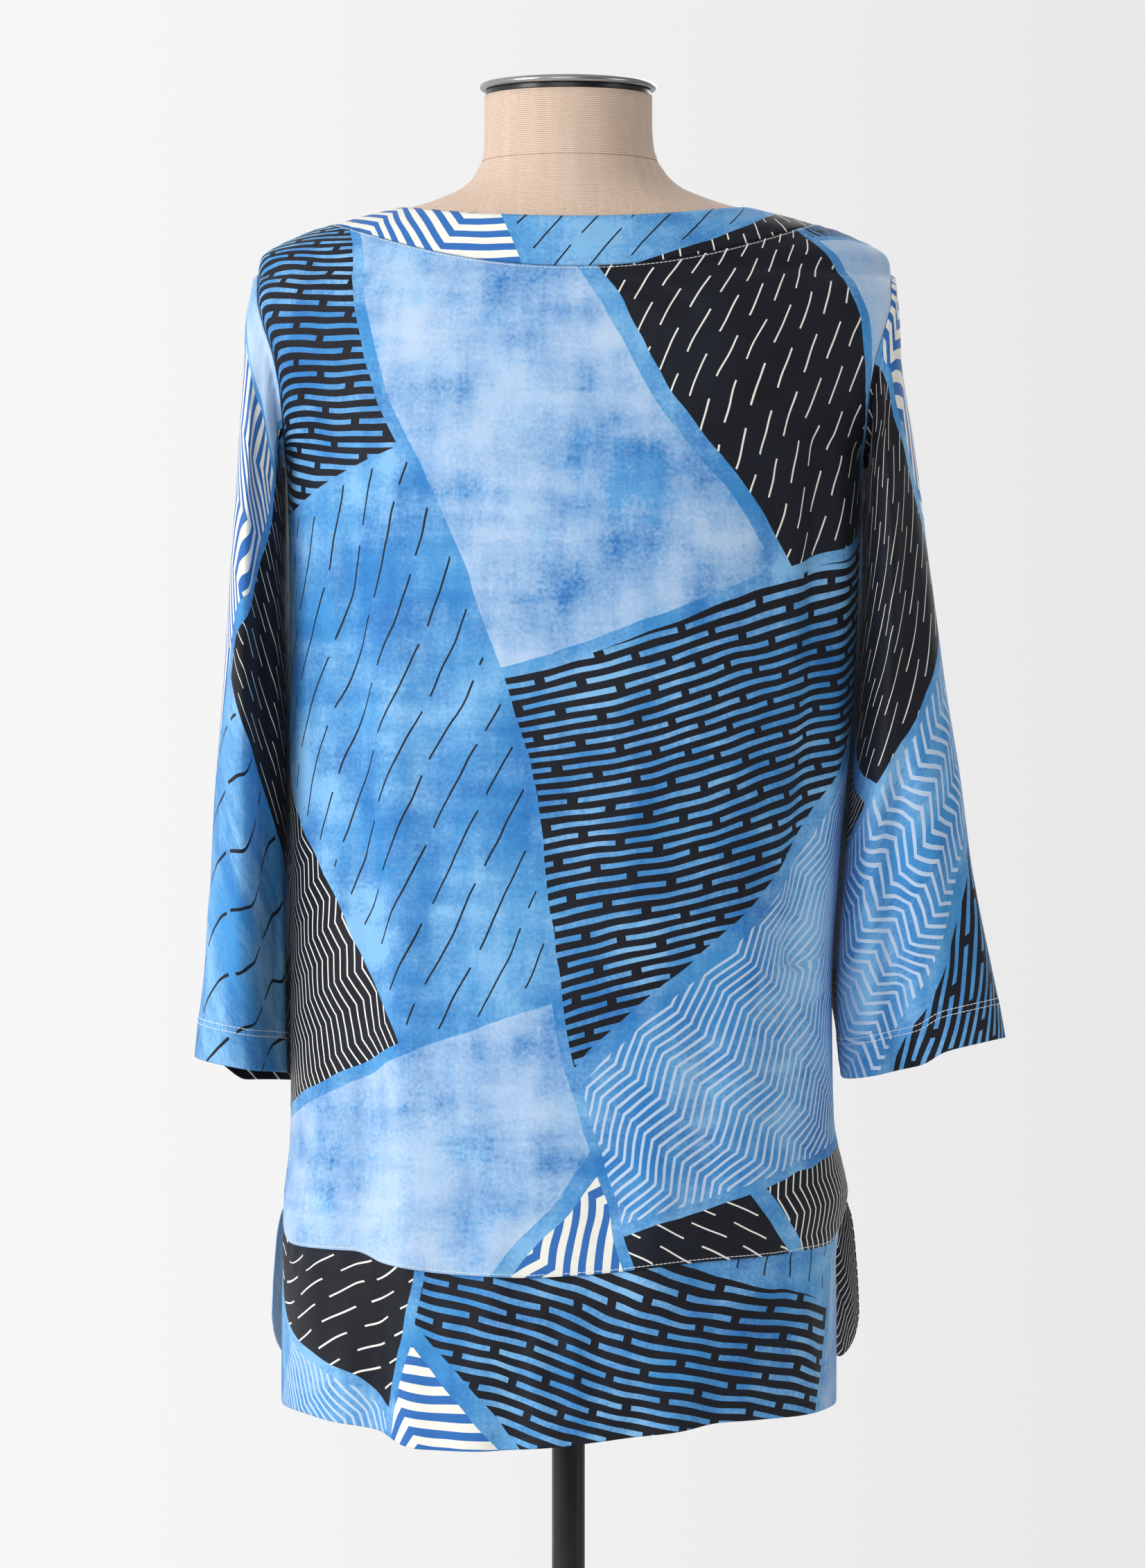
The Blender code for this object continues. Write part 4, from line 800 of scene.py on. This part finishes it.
class Wiring:
    """Short calls that add nodes to one tree."""

    def __init__(self, tree):
        self.tree = tree

    def join(self, socket, value):
        if isinstance(value, bpy.types.NodeSocket):
            self.tree.links.new(value, socket)
        else:
            socket.default_value = value

    def add(self, kind, inputs=None, **settings):
        node = self.tree.nodes.new(kind)
        for key, value in settings.items():
            setattr(node, key, value)
        for key, value in (inputs or {}).items():
            self.join(node.inputs[key], value)
        return node

    def math(self, operation, *values):
        node = self.add("ShaderNodeMath", operation=operation)
        for socket, value in zip(node.inputs, values):
            self.join(socket, value)
        return node.outputs[0]

    def vector(self, operation, *values):
        node = self.add("ShaderNodeVectorMath", operation=operation)
        for socket, value in zip(node.inputs, values):
            self.join(socket, value)
        return node.outputs[0]

    def plus(self, first, second):
        return self.math("ADD", first, second)

    def minus(self, first, second):
        return self.math("SUBTRACT", first, second)

    def times(self, first, second):
        return self.math("MULTIPLY", first, second)

    def over(self, first, second):
        return self.math("DIVIDE", first, second)

    def mix(self, factor, first, second):
        return self.add("ShaderNodeMix", {0: factor, 6: first, 7: second}, data_type="RGBA").outputs[2]

    def choose(self, factor, first, second):
        return self.add("ShaderNodeMix", {0: factor, 2: first, 3: second}, data_type="FLOAT").outputs[0]

    def split(self, place):
        return self.add("ShaderNodeSeparateXYZ", {0: place}).outputs

    def own_place(self, label="Object"):
        return self.add("ShaderNodeTexCoord").outputs[label]

    def bump(self, height, strength, distance):
        return self.add("ShaderNodeBump", {"Strength": strength, "Distance": distance,
                                           "Height": height}).outputs[0]

    def turned(self, place, angle):
        return self.add("ShaderNodeVectorRotate", {"Vector": place, "Angle": angle},
                        rotation_type="Z_AXIS").outputs[0]

    def shake(self, place, scale, size):
        """Small moves of a flat place, by up to about half of size."""
        noise = self.add("ShaderNodeTexNoise", {"Vector": place, "Scale": scale, "Detail": 1.0}).outputs[1]
        return self.scaled(self.vector("SUBTRACT", noise, (0.5, 0.5, 0.5)), size, size, 0.0)

    def noise(self, place, scale, detail=2.0, roughness=0.5):
        node = self.add("ShaderNodeTexNoise", {"Vector": place, "Scale": scale, "Detail": detail,
                                               "Roughness": roughness})
        return node.outputs[0]

    def scaled(self, place, *sizes):
        return self.vector("MULTIPLY", place, sizes)

    def spread(self, value, low, high, to_low=0.0, to_high=1.0):
        return self.add("ShaderNodeMapRange", {0: value, 1: low, 2: high, 3: to_low, 4: to_high}).outputs[0]

    def stripe(self, value, pitch, width):
        """1 over the first part of each pitch, as wide as width."""
        return self.math("LESS_THAN", self.math("FRACT", self.over(value, pitch)), width / pitch)

    def group(self, tree, **inputs):
        node = self.tree.nodes.new("ShaderNodeGroup")
        node.node_tree = tree
        for key, value in inputs.items():
            self.join(node.inputs[key.replace("_", " ")], value)
        return node.outputs


def new_group(name, inputs, outputs):
    tree = bpy.data.node_groups.new(name, "ShaderNodeTree")
    for label, kind in inputs:
        tree.interface.new_socket(name=label, in_out="INPUT", socket_type=kind)
    for label, kind in outputs:
        tree.interface.new_socket(name=label, in_out="OUTPUT", socket_type=kind)
    return Wiring(tree), tree.nodes.new("NodeGroupInput").outputs, tree.nodes.new("NodeGroupOutput").inputs


def linear(red, green, blue):
    """Linear colour of an everyday 0 to 255 one."""
    return tuple((c / 255 / 12.92) if c <= 10 else ((c / 255 + 0.055) / 1.055) ** 2.4
                 for c in (red, green, blue)) + (1.0,)


def darker(colour, share):
    return tuple(c * share for c in colour[:3]) + (1.0,)


NAVY = linear(20, 24, 37)
DEEP_NAVY = linear(12, 14, 24)
MID_BLUE = linear(66, 150, 214)
MID_BLUE_DARK = linear(40, 116, 190)
MID_BLUE_LIGHT = linear(132, 190, 236)
PALE_BLUE = linear(194, 215, 241)
PALE_BLUE_DARK = linear(108, 172, 227)
CREAM = linear(246, 245, 235)
BOLD_BLUE = linear(50, 112, 188)
LINEN = linear(224, 199, 178)
LINEN_LIGHT = linear(232, 209, 190)
LINEN_FLECK = linear(134, 92, 68)
# Dark brown of the painted shade in the gaps between the linen's threads
LINEN_GAP_SHADE = linear(112, 84, 62)

# Layout of the print, and of the linen's flecks
BLOCK_WIDE, BLOCK_TALL = 0.305, 0.372
BLOCK_TILT = math.radians(-17)
BLOCK_STAGGER = 0.41
BLOCK_OUTLINE = 0.0036
LEVEL_CUT, UPRIGHT_CUT = (0.46, 0.25), (-0.38, 0.68)    # slope and start of the line that cuts a block in two
FLECK_PITCH, FLECK_STAGGER = 0.00130, 0.36


def dye_wash_group():
    """Mottling of the dyed ground: a factor from 0 to 1 that changes over the cloth."""
    w, given, out = new_group("dye wash", [("Place", "NodeSocketVector"), ("Seed", "NodeSocketFloat")],
                              [("Factor", "NodeSocketFloat")])
    place = w.vector("ADD", given["Place"], w.add("ShaderNodeCombineXYZ", {"Z": given["Seed"]}).outputs[0])
    cloud = w.noise(place, 14.0, 4.0, 0.55)
    down = w.noise(w.scaled(place, 60.0, 9.0, 9.0), 1.0, 3.0, 0.6)
    across = w.noise(w.scaled(place, 10.0, 70.0, 9.0), 1.0, 3.0, 0.6)
    grain = w.noise(place, 380.0, 2.0, 0.6)
    total = w.times(cloud, 1.15)
    for layer, weight in ((down, 0.38), (across, 0.34), (grain, 0.34)):
        total = w.plus(total, w.times(layer, weight))
    w.join(out["Factor"], w.spread(total, 0.90, 1.28))
    return w.tree


def weave_group():
    """Plain weave: height of the threads, and the painted shade in the gaps between them."""
    w, given, out = new_group("weave", [("Place", "NodeSocketVector"), ("Pitch", "NodeSocketFloat")],
                              [("Height", "NodeSocketFloat"), ("Gap Shade", "NodeSocketFloat")])
    axes = w.split(given["Place"])
    warp, weft = [w.math("SINE", w.times(w.over(axes[k], given["Pitch"]), math.pi)) for k in (0, 1)]
    crossing = w.times(warp, weft)
    slub = w.noise(w.scaled(given["Place"], 900.0, 120.0, 1.0), 1.0, 2.0, 0.5)
    w.join(out["Height"], w.plus(w.times(crossing, 0.5), slub))
    # The second output is painted shade, strongest in the gaps between the threads.
    w.join(out["Gap Shade"], w.spread(w.math("ABSOLUTE", crossing), 0.0, 0.35, 1.0, 0.0))
    return w.tree


def block_print_group(dye_wash):
    """Patchwork of tilted blocks in navy, two washed blues and cream, each with a small plain pattern."""
    w, given, out = new_group("block print", [("Place", "NodeSocketVector")],
                              [("Color", "NodeSocketColor"), ("Ink", "NodeSocketFloat")])
    place = given["Place"]
    wobble = w.vector("ADD", w.shake(place, 3.6, 0.075), w.shake(place, 24.0, 0.0055))
    tilted = w.turned(w.vector("ADD", place, wobble), BLOCK_TILT)
    axes = w.split(tilted)
    across = w.over(axes[0], BLOCK_WIDE)
    column = w.math("FLOOR", across)
    up = w.plus(w.over(axes[1], BLOCK_TALL), w.times(column, BLOCK_STAGGER))
    row = w.math("FLOOR", up)
    in_x, in_y = w.minus(across, column), w.minus(up, row)

    # Each block is cut in two by a slanted line, level in one and upright in the next.
    odd = w.math("MODULO", w.plus(w.plus(column, row), 100.0), 2.0)
    level, upright = [w.minus(far, w.plus(w.times(along, slope), start))
                      for far, along, (slope, start) in ((in_y, in_x, LEVEL_CUT), (in_x, in_y, UPRIGHT_CUT))]
    cut = w.choose(odd, level, upright)
    half = w.math("GREATER_THAN", cut, 0.0)
    kind = w.plus(w.times(column, 2.0), w.times(row, 3.0))
    kind = w.math("MODULO", w.plus(w.plus(kind, half), 703.0), 7.0)

    edge = w.times(w.math("ABSOLUTE", cut), 0.20)
    for inside, size in ((in_x, BLOCK_WIDE), (in_y, BLOCK_TALL)):
        to_side = w.times(w.math("MINIMUM", inside, w.minus(1.0, inside)), size)
        edge = w.math("MINIMUM", edge, to_side)

    # The small patterns lie at each block's own angle.
    spin = w.math("FRACT", w.plus(w.times(column, 0.371), w.times(row, 0.613)))
    spin = w.times(w.plus(spin, w.times(half, 0.29)), 2.6)
    p, q = w.split(w.turned(tilted, spin))[:2]

    def zigzag(length, height, pitch, width):
        """Level lines that go up and down by height over each length."""
        rise = w.times(w.math("PINGPONG", w.over(p, length), 1.0), height)
        return w.stripe(w.plus(q, rise), pitch, width)

    def broken(pitch, width, length, filled, shift):
        """Rows of dashes, each row moved along from the last."""
        number = w.math("FLOOR", w.over(q, pitch))
        along = w.plus(w.over(p, length), w.times(number, shift))
        return w.times(w.stripe(q, pitch, width), w.math("LESS_THAN", w.math("FRACT", along), filled))

    fine_zigzag = zigzag(0.019, 0.0055, 0.0060, 0.0011)
    bold_zigzag = zigzag(0.052, 0.0300, 0.0126, 0.0063)
    soft_zigzag = zigzag(0.024, 0.0075, 0.0056, 0.0019)
    bars = broken(0.0080, 0.0034, 0.062, 0.90, 0.37)
    dashes = broken(0.0200, 0.0012, 0.074, 0.84, 0.43)
    ticks = broken(0.0118, 0.0011, 0.040, 0.66, 0.38)

    wash = w.group(dye_wash, Place=place, Seed=0.0)["Factor"]
    veil = w.group(dye_wash, Place=place, Seed=3.0)["Factor"]
    mid = w.mix(w.math("POWER", wash, 1.9), w.mix(veil, MID_BLUE_DARK, MID_BLUE), MID_BLUE_LIGHT)
    pale = w.mix(w.math("POWER", wash, 0.45), PALE_BLUE_DARK, PALE_BLUE)
    navy = w.mix(veil, DEEP_NAVY, NAVY)
    fills = (
        w.mix(fine_zigzag, navy, CREAM),
        w.mix(odd, pale, w.mix(dashes, mid, NAVY)),
        w.mix(soft_zigzag, mid, PALE_BLUE),
        w.mix(bars, navy, mid),
        w.mix(bold_zigzag, CREAM, BOLD_BLUE),
        w.mix(w.math("POWER", veil, 0.8), mid, pale),
        w.mix(ticks, navy, CREAM),
    )
    color = fills[0]
    for number, fill in enumerate(fills[1:], 1):
        color = w.mix(w.math("COMPARE", kind, float(number), 0.5), color, fill)
    w.join(out["Color"], w.mix(w.math("LESS_THAN", edge, BLOCK_OUTLINE), color, mid))
    w.join(out["Ink"], wash)
    return w.tree


def new_material(name, **constants):
    """A material, its wiring and its shader's sockets, with the constants set on these sockets."""
    material = bpy.data.materials.new(name)
    material.use_nodes = True
    shader = material.node_tree.nodes["Principled BSDF"]
    for key, value in constants.items():
        shader.inputs[key.replace("_", " ")].default_value = value
    return material, Wiring(material.node_tree), shader.inputs


def cut_place(w):
    return w.add("ShaderNodeUVMap", uv_map="cut").outputs[0]


def printed_cloth(name, block_print, weave):
    material, w, shader = new_material(name, Roughness=0.60, Specular_IOR_Level=0.24, Sheen_Weight=0.04,
                                       Sheen_Roughness=0.45)
    place = cut_place(w)
    design = w.group(block_print, Place=place)
    threads = w.group(weave, Place=place, Pitch=0.00042)
    # Painted shade: the print is darkened towards black in the gaps between the threads.
    shaded = w.mix(w.times(threads["Gap Shade"], 0.16), design["Color"], (0.0, 0.0, 0.0, 1.0))
    w.join(shader["Base Color"], shaded)
    w.join(shader["Roughness"], w.spread(design["Ink"], 0.0, 1.0, 0.66, 0.54))
    w.join(shader["Normal"], w.bump(threads["Height"], 0.35, 0.00016))
    return material


def thread(name, colour):
    material, w, shader = new_material(name, Roughness=0.55, Sheen_Weight=0.2)
    ply = w.noise(w.own_place(), 2600.0, 1.0)
    w.join(shader["Base Color"], w.mix(w.spread(ply, 0.35, 0.7, 0.0, 0.35), colour, darker(colour, 0.62)))
    w.join(shader["Normal"], w.bump(ply, 0.5, 0.0001))
    return material


def linen_cover(weave):
    """Cream twill with small brown flecks where the darker thread comes up."""
    material, w, shader = new_material("linen", Roughness=0.86, Specular_IOR_Level=0.22, Sheen_Weight=0.15,
                                       Sheen_Roughness=0.6)
    place = cut_place(w)
    x, y = [w.over(axis, FLECK_PITCH) for axis in w.split(place)[:2]]
    x = w.plus(x, w.times(w.math("FLOOR", y), FLECK_STAGGER))
    x, y = [w.minus(w.math("FRACT", axis), 0.5) for axis in (x, y)]
    away = w.math("SQRT", w.plus(w.times(x, x), w.times(w.times(y, y), 1.9)))
    size = w.spread(w.noise(place, 420.0, 2.0), 0.3, 0.7, 0.20, 0.36)
    fleck = w.math("LESS_THAN", away, size)
    threads = w.group(weave, Place=place, Pitch=FLECK_PITCH / 2)
    tone = w.spread(w.noise(w.scaled(place, 190.0, 16.0, 1.0), 1.0, 2.0), 0.3, 0.7)
    colour = w.mix(w.times(fleck, 0.85), w.mix(tone, LINEN, LINEN_LIGHT), LINEN_FLECK)
    # Painted shade: the linen is darkened towards dark brown in the gaps between the threads.
    w.join(shader["Base Color"], w.mix(w.times(threads["Gap Shade"], 0.25), colour, LINEN_GAP_SHADE))
    w.join(shader["Normal"], w.bump(threads["Height"], 0.5, 0.0003))
    return material


def brushed_metal(name, colour, roughness, metallic, coat=0.0):
    material, w, shader = new_material(name, Metallic=metallic, Coat_Weight=coat, Coat_Roughness=0.2)
    place = w.own_place()
    haze = w.noise(place, 60.0, 4.0, 0.6)
    speck = w.noise(place, 1500.0, 1.0)
    w.join(shader["Base Color"], w.mix(w.spread(haze, 0.3, 0.7, 0.0, 0.5), colour, darker(colour, 0.8)))
    w.join(shader["Roughness"], w.spread(haze, 0.3, 0.7, roughness * 0.8, roughness * 1.3))
    w.join(shader["Normal"], w.bump(speck, 0.08, 0.0002))
    return material


# The stand

def torso_rings():
    """Level rings of the form. Their columns start at the front's middle line and run round over the back."""
    z = rows_between(np.array(FORM["z"]), [TORSO_ROW_PARTS] * (len(FORM["z"]) - 1))
    value = {key: steps(FORM["z"], FORM[key], z)[:, None] for key in FORM}
    angle = (math.pi / 2 + 2 * math.pi * np.arange(TORSO_COLUMNS) / TORSO_COLUMNS)[None, :]
    c, s = np.cos(angle), np.sin(angle)
    depth = np.where(s > 0, value["front"], value["back"])
    x = value["shift"] + value["half_width"] * np.copysign(np.abs(c) ** (2 / value["power"]), c)
    y = depth * np.copysign(np.abs(s) ** (2 / value["power"]), s)
    return np.stack(np.broadcast_arrays(x, y, z[:, None]), axis=-1)


def torso_cover(finish):
    rings = torso_rings()
    u, v = flat_places(rings, (0.0, 0.0), closed=True)
    groove = -NECK_GROOVE_DEPTH * np.exp(-((rings[..., 2] - NECK_BASE_Z) / NECK_GROOVE_WIDTH) ** 2)
    rings = relieved(rings, groove, closed=True)
    rows, columns = rings.shape[:2]
    i, j = np.meshgrid(np.arange(rows - 1), np.arange(columns), indexing="ij")
    i, j = i.ravel(), j.ravel()
    k = (j + 1) % columns
    faces = np.stack([i * columns + j, (i + 1) * columns + j, (i + 1) * columns + k, i * columns + k], axis=1)
    flat = np.stack([u, v], axis=-1)
    cut = np.stack([flat[i, j], flat[i + 1, j], flat[i + 1, j + 1], flat[i, j + 1]], axis=1)
    faces, cut = faces.tolist(), cut.reshape(-1, 2).tolist()
    for row, order in ((0, 1), (rows - 1, -1)):
        faces.append([row * columns + q for q in range(columns)][::order])
        cut += [flat[row, q].tolist() for q in range(columns)][::order]
    return add_piece("torso_cover", rings.reshape(-1, 3), faces, finish, cut), rings


def circle(radius, z, sides):
    return [(radius * math.cos(2 * math.pi * q / sides), radius * math.sin(2 * math.pi * q / sides), z)
            for q in range(sides)]


def turned_piece(name, profile, finish):
    """Solid of revolution about the stand's axis, from (radius, z) points between two on the axis."""
    middle = profile[1:-1]
    points = [(0.0, 0.0, profile[0][1]), (0.0, 0.0, profile[-1][1])]
    for radius, z in middle:
        points += circle(radius, z, TURNED_SIDES)
    faces = []
    last = 2 + (len(middle) - 1) * TURNED_SIDES
    for q in range(TURNED_SIDES):
        k = (q + 1) % TURNED_SIDES
        faces.append((0, 2 + q, 2 + k))
        faces.append((1, last + k, last + q))
        for r in range(len(middle) - 1):
            a, b = 2 + r * TURNED_SIDES, 2 + (r + 1) * TURNED_SIDES
            faces.append((a + q, b + q, b + k, a + k))
    piece = add_piece(name, points, faces, finish)
    piece.data.set_sharp_from_angle(angle=math.radians(40))
    return piece


def neck_cap(finish):
    under, plug = CAP_TOP_Z - 0.0070, CAP_RADIUS - 0.0065
    rim = [(CAP_RADIUS - 0.0030 + 0.0030 * math.sin(a), CAP_TOP_Z - 0.0052 + 0.0024 * math.cos(a))
           for a in np.linspace(0, math.pi * 0.85, 9)]
    return turned_piece("cap_lid", [(0, CAP_TOP_Z), (0.030, CAP_TOP_Z - 0.0004),
                                    (CAP_RADIUS - 0.008, CAP_TOP_Z - 0.0020)] + rim +
                        [(CAP_RADIUS - 0.0040, under), (plug, under), (plug, NECK_TOP_Z + FIT_GAP),
                         (0, NECK_TOP_Z + FIT_GAP)], finish)


def neck_shadow_ring(finish):
    """Black ring that the cap rests on, a little wider than the cap's own plug: a painted shadow that stands
    in for the dark gap between the cap and the neck.
    """
    outer, top, bottom = CAP_RADIUS - 0.0040, CAP_TOP_Z - 0.0071, NECK_TOP_Z + FIT_GAP
    return turned_piece("neck_shadow_ring", [(0, top), (outer - 0.0004, top), (outer, top - 0.0004),
                                        (outer, bottom + 0.0004), (outer - 0.0004, bottom), (0, bottom)],
                        finish)


# Materials
dye_wash = dye_wash_group()
weave = weave_group()
block_print = block_print_group(dye_wash)
print_finish = printed_cloth("printed cloth", block_print, weave)
band_finish = printed_cloth("band cloth", block_print, weave)
white_thread = thread("white thread", linear(240, 242, 244))
brown_thread = thread("brown thread", linear(140, 102, 76))
linen_finish = linen_cover(weave)
chrome_finish = brushed_metal("chrome", linear(172, 172, 176), 0.24, 1.0)
black_finish = brushed_metal("black metal", linear(30, 32, 36), 0.38, 0.5, coat=0.3)

# Cloth pieces
OFFSETS = {
    "back": (0.86, 0.44), "front": (1.90, 0.55),
    "back_band": (0.62, 1.92), "front_band": (2.70, 2.25),
    "back_tier": (5.05, 2.85), "front_tier": (3.30, 1.80),
    "left_sleeve": (1.20, 0.60), "right_sleeve": (0.70, 2.40),
}
base = {side: panel_grid(side) for side in (BACK, FRONT)}
sheets = {}
hem_lines, neck_lines, sleeve_lines = {}, {}, {}
for side, word in ((BACK, "back"), (FRONT, "front")):
    grid = panel_relief(side, base[side])
    flat_u, flat_v = flat_places(base[side], OFFSETS[word], level_row=UNDERARM_FINE_ROW)
    sheets[word] = cloth_piece(word + "_cloth", grid, flat_u, flat_v, print_finish)
    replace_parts(sheets[word], word + "_panel")
    neck_lines[word] = [at_distance(grid, NECK_STITCH, from_last=True)]
    hem_lines[word] = [at_distance(grid, HEM_STITCH)]
    for part, node, grid, finish, slot in (
            ("band", "neck_band", band_relief(side, band_grid(side)), band_finish, "band_cloth"),
            ("tier", "tier", tier_relief(side, tier_grid(side)), print_finish, "printed_cloth")):
        key = word + "_" + part
        flat_u, flat_v = flat_places(grid, OFFSETS[key])
        sheets[key] = cloth_piece(key + "_cloth", grid, flat_u, flat_v, finish)
        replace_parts(sheets[key], word + "_" + node)

for right, word, table, creases, seed in (
        (False, "left_sleeve", LEFT_SLEEVE, LEFT_SLEEVE_CREASES, 5.0),
        (True, "right_sleeve", RIGHT_SLEEVE, RIGHT_SLEEVE_CREASES, 6.0)):
    plain = sleeve_grid(table, right, base[BACK], base[FRONT], not right)
    grid = sleeve_relief(plain, creases, seed)
    flat_u, flat_v = flat_places(plain, OFFSETS[word], closed=True)
    sheets[word] = cloth_piece(word + "_cloth", grid, flat_u, flat_v, print_finish,
                               closed=True)
    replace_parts(sheets[word], word)
    all_round = np.concatenate([grid, grid[:, :1]], axis=1)
    sleeve_lines[word] = [at_distance(all_round, depth, from_last=True) for depth in SLEEVE_HEM_ROWS]

# Stitches
sewn = {word: [stitches(word + "_neck_stitches", neck_lines[word], white_thread),
               stitches(word + "_hem_stitches", hem_lines[word], white_thread)]
        for word in ("back", "front")}
for word, rows in sleeve_lines.items():
    sewn[word] = [stitches(word + "_hem_stitches", rows, white_thread)]

# Stand
torso, torso_grid = torso_cover(linen_finish)
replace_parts(torso, "form_torso")
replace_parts(neck_cap(chrome_finish), "neck_cap")
# Painted shadow: a black ring stands in for the shadowed gap under the cap.
neck_shadow_ring(black_finish)
neck_row = int(np.argmin(np.abs(torso_grid[:, 0, 2] - NECK_BASE_Z)))
neck_line = np.concatenate([torso_grid[neck_row], torso_grid[neck_row, :1]])
outwards = normals(torso_grid, closed=True)[neck_row]
stitches("neck_base_stitches", [(neck_line, np.concatenate([outwards, outwards[:1]]))], brown_thread,
         pitch=0.0016, length=0.0011, radius=0.00022)
for node in ("pole", "base_plate"):
    for material_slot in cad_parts[node].material_slots:
        material_slot.material = black_finish

# Floor
FLOOR_RADIUS, FLOOR_SIDES = 2.2, 96
floor_finish, floor_wiring, floor_shader = new_material("floor", Roughness=0.7)
patches = floor_wiring.noise(floor_wiring.own_place(), 3.0)
floor_wiring.join(floor_shader["Base Color"],
                  floor_wiring.mix(patches, (0.86, 0.86, 0.86, 1.0), (0.83, 0.83, 0.83, 1.0)))
floor_mesh = bpy.data.meshes.new("floor")
floor_mesh.from_pydata(circle(FLOOR_RADIUS, 0.0, FLOOR_SIDES), [], [list(range(FLOOR_SIDES))])
floor_mesh.materials.append(floor_finish)
floor = bpy.data.objects.new("floor", floor_mesh)
bpy.context.scene.collection.objects.link(floor)

# Studio: a near-white wall, seen only by the camera, that darkens to the right as painted shade, and a room
# that lights the object mainly from the left
bpy.context.scene.view_settings.view_transform = "Standard"
studio = bpy.data.worlds.new("studio")
bpy.context.scene.world = studio
studio.use_nodes = True
sky = Wiring(studio.node_tree)
x, y, z = sky.split(sky.own_place("Generated"))
# Painted shade: the wall that the camera sees gets darker towards the right.
backdrop = sky.spread(x, -0.08, 0.10, 0.925, 0.80)
room = sky.spread(x, 0.7, -0.7, 0.30, 0.85)
horizon = sky.times(sky.spread(sky.math("ABSOLUTE", z), 0.12, 0.40, 1.0, 0.0), sky.spread(y, -0.3, -0.8))
room = sky.times(room, sky.spread(horizon, 0.0, 1.0, 1.0, 0.25))
seen = sky.add("ShaderNodeLightPath").outputs["Is Camera Ray"]
background = studio.node_tree.nodes["Background"]
background.inputs["Color"].default_value = (1.0, 1.0, 1.0, 1.0)
sky.join(background.inputs["Strength"], sky.choose(seen, room, backdrop))


def soft_light(name, place, aim, size, power):
    light = bpy.data.lights.new(name, "AREA")
    light.shape = "RECTANGLE"
    light.size, light.size_y = size
    light.energy = power
    lamp = bpy.data.objects.new(name, light)
    bpy.context.scene.collection.objects.link(lamp)
    lamp.location = place
    direction = np.array(aim) - np.array(place)
    level = math.hypot(direction[0], direction[1])
    lamp.rotation_euler = (math.atan2(level, -direction[2]), 0.0, math.atan2(-direction[0], direction[1]))


soft_light("key", (-3.2, -2.1, 2.2), (0.0, 0.0, 1.05), (1.6, 2.2), 92)
soft_light("front", (-0.6, -4.6, 2.3), (0.0, 0.0, 1.0), (2.6, 1.8), 44)
soft_light("right", (3.2, -1.4, 1.5), (0.0, 0.0, 1.0), (1.4, 2.2), 14)
soft_light("rear", (1.2, 3.0, 2.4), (0.0, 0.0, 1.0), (2.0, 2.0), 40)

# Camera, level with the middle of the cloth
CAMERA_PLACE = (0.0027, -4.0, 1.0380)
lens = bpy.data.cameras.new("camera")
lens.sensor_width = 36.0
lens.lens = 140.0
camera = bpy.data.objects.new("camera", lens)
bpy.context.scene.collection.objects.link(camera)
camera.location = CAMERA_PLACE
camera.rotation_euler = (math.radians(90), 0.0, 0.0)
bpy.context.scene.camera = camera
